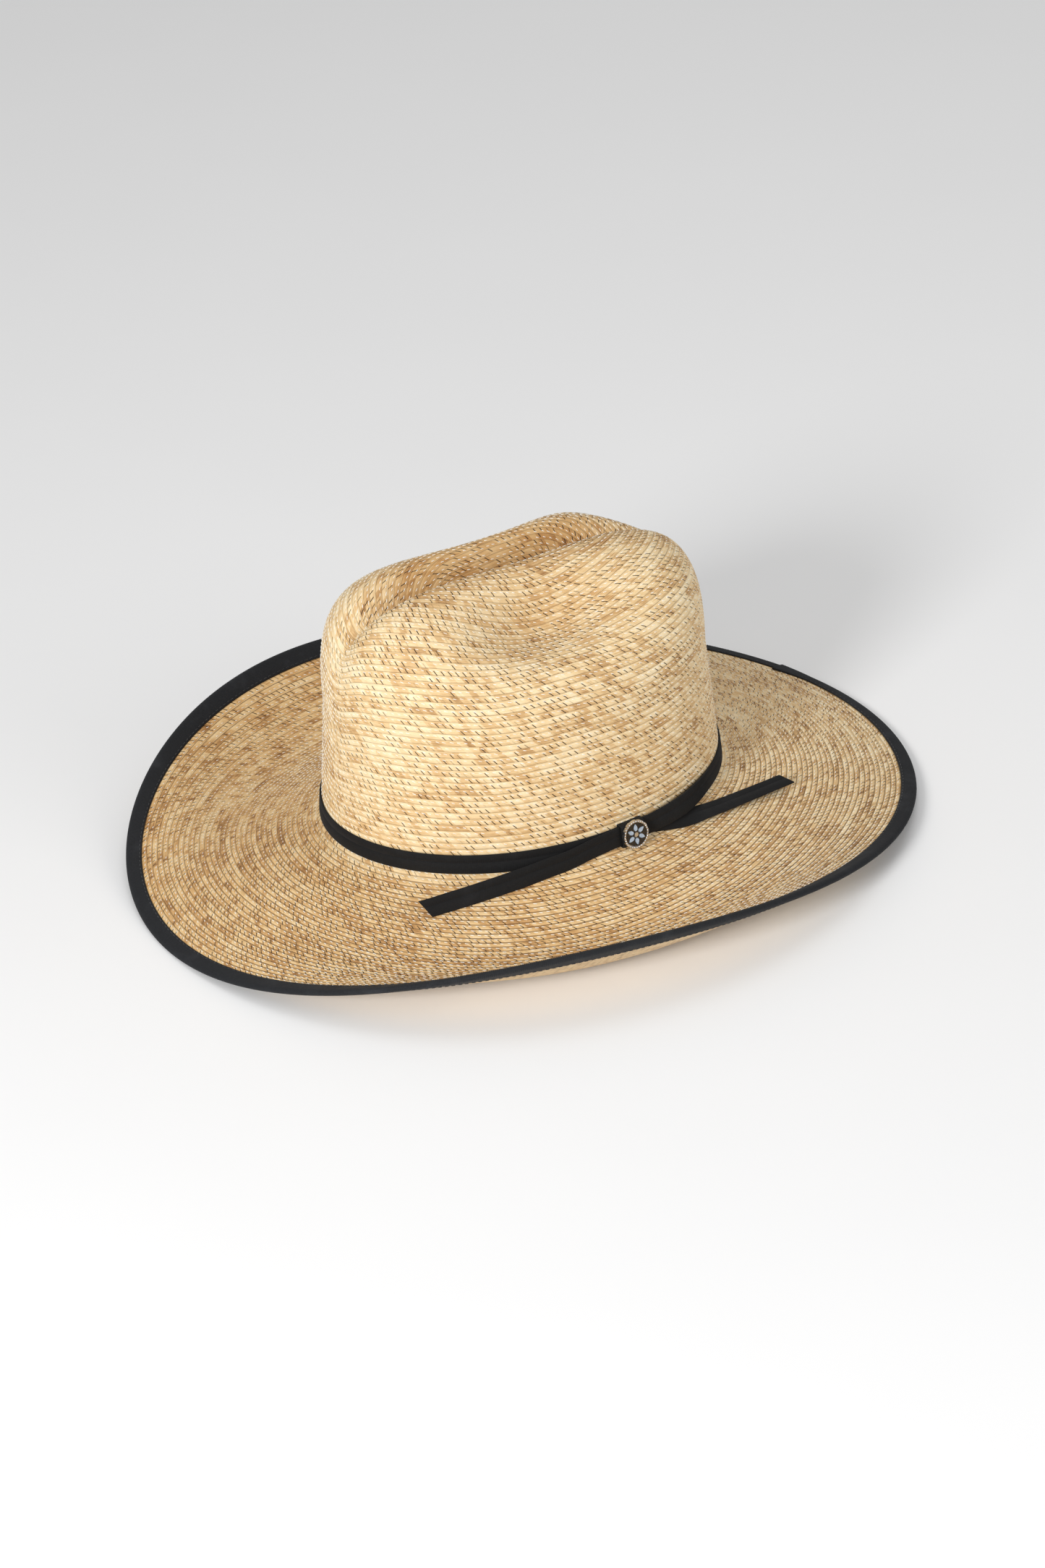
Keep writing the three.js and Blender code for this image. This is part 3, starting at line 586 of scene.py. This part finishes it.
def grid_index(ring_count, offset):
    """Vertex numbers of a grid whose first ring is the tip's seam, shared by the left and right halves."""
    index = offset + np.arange(ring_count * STATIONS).reshape(ring_count, STATIONS)
    first = np.arange(STATIONS)
    index[0] = offset + np.minimum(first, (-first) % STATIONS)
    return np.concatenate([index, index[:, :1]], axis=1)


def grid_quads(index):
    """Quads facing out of the hat, with the ring and station of each corner."""
    rings, stations = index.shape
    j, i = (g.ravel() for g in np.meshgrid(np.arange(rings - 1), np.arange(stations - 1), indexing="ij"))
    ring = np.stack([j, j + 1, j + 1, j], -1)
    station = np.stack([i, i, i + 1, i + 1], -1)
    return index[ring, station], ring, station


def straw_body():
    rows = row_positions(TOP_PROFILE)
    middle = middle_surface(rows)
    normals = surface_normals(middle)
    top = middle + normals * (HALF_STRAW + relief(rows, TOP_PROFILE))[:, None, None]
    low_rows = row_positions(UNDER_PROFILE)
    low_middle = middle_surface(low_rows)
    low_normals = surface_normals(low_middle)
    under = low_middle - low_normals * (HALF_STRAW + relief(low_rows, UNDER_PROFILE))[:, None, None]
    for side in (top, under):  # the seam's two halves meet exactly
        side[0, :, 0] = 0
        side[0] = (side[0] + side[0][(-np.arange(STATIONS)) % STATIONS]) / 2
    lengths = row_lengths(middle, rows)
    # each row's pattern starts at its own place round the hat, so that neither starts nor slits line up
    phases = RANDOM.uniform(0, 300, len(lengths))
    starts = RANDOM.random(len(lengths)) * lengths[:, -1]

    def corner_uvs(ring, station, coordinates):
        first = np.minimum(ring[:, 0], ring[:, 1])
        row = np.minimum(coordinates[first].astype(int), CROWN_ROWS + BRIM_ROWS - 1)
        edge = np.minimum(coordinates[ring], (row + 0.999)[:, None])
        reached = lengths[row[:, None], station]
        begin = reached[:, :1]
        from_start = (begin - starts[row][:, None]) % lengths[row, -1][:, None]
        return np.stack([from_start + reached - begin + phases[row][:, None], edge], -1)

    top_index = grid_index(len(rows), 0)
    under_index = grid_index(len(low_rows), top[..., 0].size)
    top_faces, ring, station = grid_quads(top_index)
    top_uvs = corner_uvs(ring, station, rows)
    under_faces, ring, station = grid_quads(under_index)
    under_uvs = corner_uvs(ring, station, low_rows)
    i = np.arange(STATIONS)
    rim = np.stack([top_index[-1, i], under_index[-1, i], under_index[-1, i + 1], top_index[-1, i + 1]], -1)
    rim_lengths = lengths[-1][np.stack([i, i, i + 1, i + 1], -1)]
    rim_uvs = np.stack([rim_lengths, np.full(rim_lengths.shape, CROWN_ROWS + BRIM_ROWS - 0.5)], -1)
    faces = np.concatenate([top_faces, under_faces[:, ::-1], rim])
    uvs = np.concatenate([top_uvs, under_uvs[:, ::-1], rim_uvs])
    sides = np.concatenate([np.zeros(len(top_faces)), np.ones(len(under_faces) + len(rim))])
    points = np.concatenate([top.reshape(-1, 3), under.reshape(-1, 3)])
    points, faces = drop_unused(points, faces)
    obj = add_piece("straw_braid", points, faces, "hat", [STRAW_TOP, STRAW_UNDER], uvs, sides)
    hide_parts("straw_body")
    return top, rows, lengths


def drop_unused(points, faces):
    used, packed = np.unique(faces, return_inverse=True)
    return points[used], packed.reshape(faces.shape)


# ---- stitches ----------------------------------------------------------------


def stitch_mesh(starts, ends, normals, width, height, sink=0.12):
    """Closed slim lozenges from start to end, standing on the surface along their normals."""
    along = ends - starts
    side = unit(np.cross(normals, along)) * (width / 2)
    up = unit(normals)
    points = []
    for share, lift, across in (
        (0, 0, 0), (0.2, 0, -1), (0.2, 1, 0), (0.2, 0, 1), (0.8, 0, -1), (0.8, 1, 0), (0.8, 0, 1), (1, 0, 0),
    ):
        points.append(starts + along * share + up * (height * lift - sink) + side * across)
    count = len(starts)
    pattern = np.array([
        (0, 2, 1), (0, 3, 2), (0, 1, 3), (7, 4, 5), (7, 5, 6), (7, 6, 4),
        (1, 2, 5), (1, 5, 4), (2, 3, 6), (2, 6, 5), (3, 1, 4), (3, 4, 6),
    ])
    faces = (np.arange(count)[:, None, None] * 8 + pattern[None]).reshape(-1, 3)
    return np.stack(points, 1).reshape(-1, 3), faces


STITCH = {"pitch": 3.5, "length": 2.3, "width": 0.58, "height": 0.36, "start": 0.26, "end": 0.44, "gap": 0.05}


def straw_stitches(top, rows, lengths):
    """The white lock stitch that sews each row to the one inside it."""
    wrapped = np.concatenate([top, top[:, :1]], axis=1)
    normals = surface_normals(top)
    normals = np.concatenate([normals, normals[:, :1]], axis=1)

    def sample(grid, row_at, station_at):
        ring = np.interp(row_at, rows, np.arange(len(rows)))
        j, i = np.floor(ring).astype(int), np.floor(station_at).astype(int)
        j, i = np.minimum(j, len(rows) - 2), np.minimum(i, STATIONS - 1)
        p, q = (ring - j)[:, None], (station_at - i)[:, None]
        near = grid[j, i] * (1 - q) + grid[j, i + 1] * q
        far = grid[j + 1, i] * (1 - q) + grid[j + 1, i + 1] * q
        return near * (1 - p) + far * p

    starts, ends, ups = [], [], []
    for row in range(1, CROWN_ROWS + BRIM_ROWS - 2):
        total = lengths[row][-1]
        count = int(total // STITCH["pitch"])
        begin = (np.arange(count) + RANDOM.random() + RANDOM.uniform(-0.08, 0.08, count)) * total / count
        begin = begin[RANDOM.random(count) > STITCH["gap"]]
        finish = begin + STITCH["length"] * RANDOM.uniform(0.85, 1.12, len(begin))
        stations = [np.interp(at % total, lengths[row], np.arange(STATIONS + 1)) for at in (begin, finish)]
        lift = RANDOM.uniform(-0.04, 0.04, len(begin))
        starts.append(sample(wrapped, row + STITCH["start"] + lift, stations[0]))
        ends.append(sample(wrapped, row + STITCH["end"] + lift, stations[1]))
        ups.append(sample(normals, row + STITCH["start"] + lift, stations[0]))
    points, faces = stitch_mesh(
        np.concatenate(starts), np.concatenate(ends), np.concatenate(ups), STITCH["width"], STITCH["height"],
    )
    add_piece("straw_stitches", points, faces, "hat", [WHITE_THREAD])


# ---- the bound edge ----------------------------------------------------------

EDGE_LENGTH = 1240  # millimetres round the brim, for the number of ribs
TAPE = {
    "gap": 0.42, "thickness": 0.5, "nose": 2.6, "rib": 0.14,
    "lap_from": 190.5, "lap_to": 196.5, "lap": 0.7, "lap_in": 0.5,  # the lap's ends are in degrees
}
EDGE_STITCH = {"row_length": 1180, "pitch": 3.2, "share": 0.72, "inset": 0.16, "width": 0.42, "height": 0.38}


def edge_frames(angles):
    """Points, outward and upward directions at the inner line of the binding and at the braid's edge."""
    width = brim_width(angles)
    leg = brim_point(angles, TAPE_INNER * width)
    edge = brim_point(angles, STRAW_EDGE * width)
    outward = unit(edge - leg)
    along = unit(np.roll(edge, -1, axis=0) - np.roll(edge, 1, axis=0))
    return leg, edge, outward, unit(np.cross(outward, along)) * -1


def tape_outline(inner, outer, nose, skin):
    """Section of the folded tape as (share from leg to edge, out beyond the edge, up), all round."""
    outside = [(0.0, 0, outer * 0.86), (0.08, 0, outer), (0.5, 0, outer * 1.02), (1.0, 0, outer)]
    round_nose = np.radians([25, 48, 70, 90, 110, 132, 155])
    curve = [(1.0, nose * math.sin(a), outer * math.cos(a)) for a in round_nose]
    lower = [(share, out, -up) for share, out, up in outside[::-1]]
    inside = [(0.0, 0, -inner), (1.0, 0, -inner)]
    hollow = [(1.0, (nose - skin) * math.sin(a), inner * math.cos(a)) for a in np.radians([135, 90, 45])]
    return [*outside, *curve, *lower, *inside, *hollow, (1.0, 0, inner), (0.0, 0, inner)]


def brim_binding():
    count = 2 * int(round(EDGE_LENGTH / RIB_PITCH))
    angles = np.arange(count) / count * TAU
    leg, edge, outward, up = edge_frames(angles)
    rib = np.where(np.arange(count) % 2 == 0, TAPE["rib"], -TAPE["rib"])[:, None]
    degrees = np.degrees(angles)[:, None]
    rise = np.clip((degrees - TAPE["lap_from"]) / (TAPE["lap_to"] - TAPE["lap_from"]), 0, 1)
    lapped = rise * (degrees < TAPE["lap_to"])  # the tape's end lies over its start
    inner = HALF_STRAW + TAPE["gap"]
    outer = inner + TAPE["thickness"]
    outline = tape_outline(inner, outer, TAPE["nose"], TAPE["thickness"])
    sections = []
    for share, out, height in outline:
        at = share - TAPE["lap_in"] * lapped * (1 - share)
        base = leg * (1 - at) + edge * at
        skin = max(abs(height), out) > inner + 0.05 or out > TAPE["nose"] - TAPE["thickness"] + 0.01
        grow = (rib + TAPE["lap"] * lapped) if skin else 0 * rib
        size = math.hypot(out, height)
        sections.append(base + outward * out * (1 + grow / size) + up * height * (1 + grow / size))
    sections = np.stack(sections, 1)[:, ::-1]
    low = -LIFT
    sections[..., 2] = np.maximum(sections[..., 2], low)
    faces = ring_faces(count, sections.shape[1], closed=True)
    uvs = strip_uvs(np.concatenate([sections, sections[:1]]), faces)
    obj = add_piece("edge_binding", sections, faces, "hat", [EDGE_GROSGRAIN], uvs)
    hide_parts("brim_binding")


def binding_stitches(side, name, node):
    """A row of black stitches along the inner line of the binding's leg."""
    count = int(EDGE_STITCH["row_length"] / EDGE_STITCH["pitch"])
    height = side * (HALF_STRAW + TAPE["gap"] + TAPE["thickness"] + TAPE["rib"] * 0.4)
    ends = []
    for offset in (0, EDGE_STITCH["share"]):
        leg, edge, _, up = edge_frames((np.arange(count) + offset) / count * TAU)
        ends.append(leg * (1 - EDGE_STITCH["inset"]) + edge * EDGE_STITCH["inset"] + up * height)
    points, faces = stitch_mesh(ends[0], ends[1], up * side, EDGE_STITCH["width"], EDGE_STITCH["height"])
    obj = add_piece(name, points, faces, "hat", [BLACK_THREAD])
    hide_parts(node)


# ---- inside the head opening -------------------------------------------------

LINING = HALF_STRAW + 0.3
SWEATBAND = {"thickness": 1.5, "bottom": 0.8, "top": 33}


def rounded_strip(near, far, bottom, top):
    """Section of a lining strip as (depth, height) all round, with soft edges."""
    middle, half = (near + far) / 2, (far - near) / 2
    heights = np.linspace(bottom + half, top - half, 14)
    outer = [(near, h) for h in heights]
    turns = np.radians([45, 90, 135])
    crown = [(middle - half * math.cos(a), top - half + half * math.sin(a)) for a in turns]
    inner = [(far, h) for h in heights[::-1]]
    foot = [(middle + half * math.cos(a), bottom + half - half * math.sin(a)) for a in turns]
    return [*outer, *crown, *inner, *foot]


def lining_piece(name, node, angles, section, material, closed):
    sections = np.stack([off_wall(angles, np.full(angles.shape, -depth), np.full(angles.shape, height))
                         for depth, height in section], 1)
    around, across = sections.shape[:2]
    faces = ring_faces(around, across, True) if closed else strip_faces(around, across)
    run = np.concatenate([sections, sections[:1]]) if closed else sections
    obj = add_piece(name, sections, faces, "hat", [material], strip_uvs(run, faces))
    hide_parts(node)


def inside_pieces():
    round_it = np.arange(300) / 300 * TAU
    far = LINING + SWEATBAND["thickness"]
    band = rounded_strip(LINING, far, SWEATBAND["bottom"], SWEATBAND["top"])
    lining_piece("sweatband_cloth", "sweatband", round_it, band, SWEAT_CLOTH, True)
    reed = [(LINING + 0.9 - 0.8 * math.cos(a), -0.6 + 0.8 * math.sin(a)) for a in np.arange(12) / 12 * TAU]
    lining_piece("reed_piping", "sweatband_reed", round_it, reed, SWEAT_CLOTH, True)
    near = far + 0.3
    tape_angles = np.radians(np.linspace(176.6, 183.4, 14))
    tape = rounded_strip(near, near + 0.5, 2, 31.5)
    lining_piece("back_seam_tape", "sweatband_seam_tape", tape_angles, tape, SWEAT_CLOTH, False)
    label_angles = np.radians(np.linspace(154.5, 169.5, 24))
    label = rounded_strip(near, near + 0.4, 7, 27)
    lining_piece("blank_label", "size_label", label_angles, label, LABEL_CLOTH, False)
    lining_stitches(far)


def lining_stitches(far):
    """The stitch line along the sweatband's foot."""
    count, height, share = 190, 4.2, 0.62
    angle = np.arange(count) / count * TAU
    flat = np.full(count, 1.0)
    starts = off_wall(angle, -far * flat, height * flat)
    ends = off_wall(angle + share * TAU / count, -far * flat, height * flat)
    inward = -oval_normal(angle)
    points, faces = stitch_mesh(starts, ends, inward, 0.45, 0.42)
    add_piece("sweatband_stitches", points, faces, "hat", [BLACK_THREAD])


# ---- the band ----------------------------------------------------------------

BAND_STATIONS = 56  # the CAD's steps round the hat, by which the ribbon's route is given
RIBBON = {"width": 10, "thickness": 0.8, "band_height": 5.3, "from_straw": 1.5, "rib": 0.13}


def station_angle(station):
    return np.asarray(station, float) / BAND_STATIONS * TAU


def up_wall(station):
    angle = station_angle(station)
    foot = off_wall(angle, 0 * angle, 0 * angle)
    return unit(off_wall(angle, 0 * angle, CROWN["wall_height"] + 0 * angle) - foot)


def wall_tilt(station):
    return np.degrees(np.arcsin(up_wall(station)[..., 2]))


def riding_height(station, off, tilt, lift):
    """Height of the ribbon's centre when its lower edge rides a little over the brim."""
    lean = math.radians(tilt)
    reach = off + RIBBON["width"] / 2 * math.cos(lean)
    ground = brim_point(station_angle(station), np.array(reach))[2] + HALF_STRAW
    return ground + lift + RIBBON["width"] / 2 * math.sin(lean) + RIBBON["thickness"] / 2


# Rows of station, distance off the wall, tilt and lift over the brim.
FRONT_TAIL = [
    (6.3, 25.2, 62, 0.8), (7, 20.1, 63, 0.8), (8, 14.6, 65, 0.8), (9, 10.5, 67, 0.8),
    (10, 7.6, 70, 0.8), (11, 5.4, 74, 0.8), (12, 4.2, 78, 0.9),
]
BACK_TAIL = [
    (18, 5.2, 38, 1.6), (19, 7.9, 22, 2), (20, 12.9, 17, 2.4), (21, 19.9, 16, 3),
    (22, 29.7, 17, 3.7), (22.5, 36, 18, 4.2),
]
# Rows of station, distance off the wall, height and, where it leaves the wall's own angle, tilt.
OUTER_CROSSING = [
    (13, 3.5, 4.5, 80), (14, 3.4, 5.9), (15, 3.5, 6.5), (16, 3.85, 6.8), (17, 4.9, 7.4, 76),
    (18, 4.9, 7.4, 74), (19, 3.9, 7.1, 78), (20, 2.6, 6.4), (21, 1.7, 5.6),
]
INNER_CROSSING = [(14, 2.1, 5.8), (15, 2.4, 6.3), (16, 2.5, 5.9), (17, 3.3, 2.9, 66)]


def ribbon_route():
    """Rows of station, distance off the wall, height and tilt, from the front end's tip to the back end's."""

    def on_wall(rows):
        tilts = [tilt[0] if tilt else float(wall_tilt(at)) for at, _, _, *tilt in rows]
        return [(*row[:3], tilt) for row, tilt in zip(rows, tilts)]

    def on_brim(rows):
        return [(at, off, riding_height(at, off, tilt, lift), tilt) for at, off, tilt, lift in rows]

    band = [(at, RIBBON["from_straw"], RIBBON["band_height"]) for at in range(22, BAND_STATIONS + 14)]
    lapped = [(at + BAND_STATIONS, *rest) for at, *rest in on_wall(INNER_CROSSING) + on_brim(BACK_TAIL)]
    return np.array(on_brim(FRONT_TAIL) + on_wall(OUTER_CROSSING + band) + lapped)


def smooth_run(table, at):
    """The table's rows at values of its first column, on a curve through them."""
    k = np.clip(np.searchsorted(table[:, 0], at, side="right") - 1, 0, len(table) - 2)
    gap = (table[k + 1, 0] - table[k, 0])[:, None]
    t = (at - table[k, 0])[:, None] / gap
    slopes = np.gradient(table, table[:, 0], axis=0)
    return (
        (2 * t**3 - 3 * t**2 + 1) * table[k] + (t**3 - 2 * t**2 + t) * gap * slopes[k]
        + (3 * t**2 - 2 * t**3) * table[k + 1] + (t**3 - t**2) * gap * slopes[k + 1]
    )


def travelled_along(points):
    return np.concatenate([[0], np.cumsum(np.linalg.norm(np.diff(points, axis=0), axis=1))])


def ribbon_outline(rib):
    """The ribbon folded lengthwise: (along its width, through it), with a line where the fold meets."""
    w, t = RIBBON["width"] / 2, RIBBON["thickness"] / 2
    front = [(-w, 0.55), (-w * 0.93, 1), (-w * 0.4, 1.06), (w * 0.12, 1.0), (w * 0.18, 0.35), (w * 0.24, 1.0),
             (w * 0.6, 1.05), (w * 0.93, 1), (w, 0.55)]
    back = [(w, -0.55), (w * 0.93, -1), (w * 0.3, -1), (-w * 0.3, -1), (-w * 0.93, -1), (-w, -0.55)]
    outline = [(a, share * t + rib * (share > 0.5)) for a, share in front]
    return outline + [(a, share * t) for a, share in back] + [(-w, 0.0)]


def band_ribbon():
    route = ribbon_route()
    fine = np.linspace(route[0, 0], route[-1, 0], 6000)
    station, off, height, _ = smooth_run(route, fine).T
    steps = travelled_along(off_wall(station_angle(station), off, height))
    count = 2 * int(steps[-1] / RIB_PITCH)
    even = np.interp(np.linspace(0, steps[-1], count), steps, fine)
    station, off, height, tilt = smooth_run(route, even).T
    angle, lean = station_angle(station), np.radians(tilt)
    outward, upward = oval_normal(angle), np.array([0, 0, 1.0])
    along_width = -outward * np.cos(lean)[:, None] + upward * np.sin(lean)[:, None]
    through = outward * np.sin(lean)[:, None] + upward * np.cos(lean)[:, None]
    centre = off_wall(angle, off, height)
    outlines = [ribbon_outline(RIBBON["rib"]), ribbon_outline(-RIBBON["rib"])]
    sections = np.empty((count, len(outlines[0]), 3))
    for k in range(count):
        for j, (a, t) in enumerate(outlines[k % 2]):
            sections[k, j] = centre[k] + along_width[k] * a + through[k] * t
    tangent = unit(np.gradient(centre, axis=0))
    width_share = np.array([a for a, _ in outlines[0]]) / RIBBON["width"]
    shift = end_cuts(travelled_along(centre))[:, None] * width_share[None, :]
    sections += tangent[:, None, :] * shift[..., None]
    sections = sections[:, ::-1]
    faces = strip_faces(count, sections.shape[1])
    uvs = strip_uvs(sections, faces)
    obj = add_piece("hat_band", sections, faces, "hat_band", [GROSGRAIN], uvs)
    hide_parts("band_ribbon")


def end_cuts(travelled):
    """How far the upper edge runs ahead of the lower one near each end, for the slanting cuts."""
    reach, front_slant, back_slant = 14.0, -8.0, 2.0
    from_start = np.clip(1 - travelled / reach, 0, 1)
    from_end = np.clip(1 - (travelled[-1] - travelled) / reach, 0, 1)
    return front_slant * from_start + back_slant * from_end


KEEPER = {"station": 15, "reach": 0.56, "inner": 1.1, "outer": 5.7, "bottom": 0.3, "top": 12.4, "skin": 0.6,
          "corner": 1.6, "rib": 0.07}


def keeper_loop():
    """A short ribbon wrapped round the crossing, ribbed across its width."""
    k = KEEPER
    corner = k["corner"]
    path = []
    for centre_off, centre_height, start in (
        (k["outer"] - corner, k["top"] - corner, 0), (k["inner"] + corner, k["top"] - corner, 90),
        (k["inner"] + corner, k["bottom"] + corner, 180), (k["outer"] - corner, k["bottom"] + corner, 270),
    ):
        for a in np.radians(np.linspace(start, start + 90, 7)):
            path.append((centre_off, centre_height, math.cos(a), math.sin(a)))
    loop = np.array([(o + corner * c, h + corner * s, c, s) for o, h, c, s in path])
    closed = np.concatenate([loop, loop[:1]])
    travelled = travelled_along(closed[:, :2])
    count = 2 * int(travelled[-1] / RIB_PITCH)
    at = np.arange(count) / count * travelled[-1]
    off, height, c, s = (np.interp(at, travelled, closed[:, axis]) for axis in range(4))
    stations = np.linspace(k["station"] - k["reach"], k["station"] + k["reach"], 9)
    rib = np.where(np.arange(count) % 2 == 0, k["rib"], -k["rib"])
    rings = []
    for skin in (0.0, -k["skin"]):
        grow = rib * (skin == 0.0) + skin
        for station in stations if skin == 0.0 else stations[::-1]:
            angle = station_angle(np.full(count, station))
            rings.append(off_wall(angle, off + c * grow, height + s * grow))
    sections = np.stack(rings, 1)
    faces = ring_faces(count, sections.shape[1], closed=True)
    uvs = strip_uvs(np.concatenate([sections, sections[:1]]), faces)
    obj = add_piece("keeper_ribbon", sections, faces, "hat_band", [GROSGRAIN], uvs)
    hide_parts("band_keeper")


# ---- the concho --------------------------------------------------------------


def finish_node(node, material, bevel=0.0):
    """Gives a CAD node its finish, and rounds its edges."""
    obj = frame["nodes"][node]
    obj.data.materials.clear()
    obj.data.materials.append(material)
    if bevel:
        rounding = obj.modifiers.new("rounding", "BEVEL")
        rounding.width = bevel * MM
        rounding.segments = 2
        rounding.limit_method = "ANGLE"
        rounding.angle_limit = math.radians(35)


BEADS = {"count": 30, "radius": 0.42, "ring": 6.88, "out": 1.66, "sunk": 0.1, "rings": 4, "sides": 10}


def concho_beads():
    """A ring of small beads on the concho's rim."""
    joint = next(j for j in frame["joints"] if j["name"] == "concho_spin")
    axis = unit(np.array(joint["axis"], float))
    foot = np.array(joint["pos_m"], float) / MM - (0, 0, LIFT)
    across = unit(np.cross((0, 0, 1), axis))
    rise = np.cross(axis, across)
    radius, ring, rings, sides = (BEADS[key] for key in ("radius", "ring", "rings", "sides"))
    points, faces = [], []
    for k in range(BEADS["count"]):
        turn = k / BEADS["count"] * TAU
        centre = foot + axis * BEADS["out"] + across * ring * math.cos(turn) + rise * ring * math.sin(turn)
        first = len(points)
        for j in range(rings):
            slope = (j / rings) * math.pi / 2
            for i in range(sides):
                a = i / sides * TAU
                flat = across * math.cos(a) + rise * math.sin(a)
                points.append(centre + radius * (math.cos(slope) * flat + math.sin(slope) * axis))
        points.append(centre + radius * axis)
        points.append(centre - BEADS["sunk"] * axis)
        top, foot_point = first + rings * sides, first + rings * sides + 1
        for i in range(sides):
            after = (i + 1) % sides
            for j in range(rings - 1):
                a, b = first + j * sides + i, first + j * sides + after
                c, d = b + sides, a + sides
                faces += [(a, b, c), (a, c, d)]
            last = first + (rings - 1) * sides
            faces.append((last + i, last + after, top))
            faces.append((first + after, first + i, foot_point))
    add_piece("concho_beads", np.array(points), faces, "concho", [SILVER])


def concho():
    finish_node("concho_frame", SILVER, 0.18)
    finish_node("concho_enamel", ENAMEL, 0.05)
    finish_node("concho_clutch", SILVER, 0.1)
    for k in range(1, 7):
        finish_node(f"concho_inlay_{k}", INLAY, 0.12)
    concho_beads()


# ---- table and light ---------------------------------------------------------


def add_light(name, place, size, power, aim=(0, 0, 0.06)):
    data = bpy.data.lights.new(name, "AREA")
    data.shape = "DISK"
    data.size = size
    data.energy = power
    light = bpy.data.objects.new(name, data)
    bpy.context.scene.collection.objects.link(light)
    light.location = place
    light.rotation_euler = (Vector(aim) - Vector(place)).to_track_quat("-Z", "Y").to_euler()


def studio():
    mesh = bpy.data.meshes.new("table")
    reach = 12.0
    mesh.from_pydata([(-reach, -reach, 0), (reach, -reach, 0), (reach, reach, 0), (-reach, reach, 0)], [],
                     [(0, 1, 2, 3)])
    mesh.materials.append(table_material("table"))
    table = bpy.data.objects.new("table", mesh)
    bpy.context.scene.collection.objects.link(table)
    add_light("key", (1.12, -1.72, 1.0), 0.6, 33)
    add_light("fill", (1.8, 0.8, 0.9), 1.2, 8)
    add_light("top", (-0.5, 0.6, 2.4), 1.6, 8)
    world = bpy.data.worlds.new("studio")
    bpy.context.scene.world = world
    world.use_nodes = True
    background = next(n for n in world.node_tree.nodes if n.type == "BACKGROUND")
    background.inputs["Color"].default_value = (1, 1, 1, 1)
    background.inputs["Strength"].default_value = 0.46
    bpy.context.scene.view_settings.view_transform = "Standard"


# ---- assembly ----------------------------------------------------------------

add_camera()
straw_stitches(*straw_body())
brim_binding()
binding_stitches(1, "binding_stitches_top", "binding_thread_top")
binding_stitches(-1, "binding_stitches_under", "binding_thread_under")
inside_pieces()
band_ribbon()
keeper_loop()
concho()
finish_node("brim_wire", WIRE)
finish_node("brim_wire_ferrule", WIRE, 0.1)
studio()
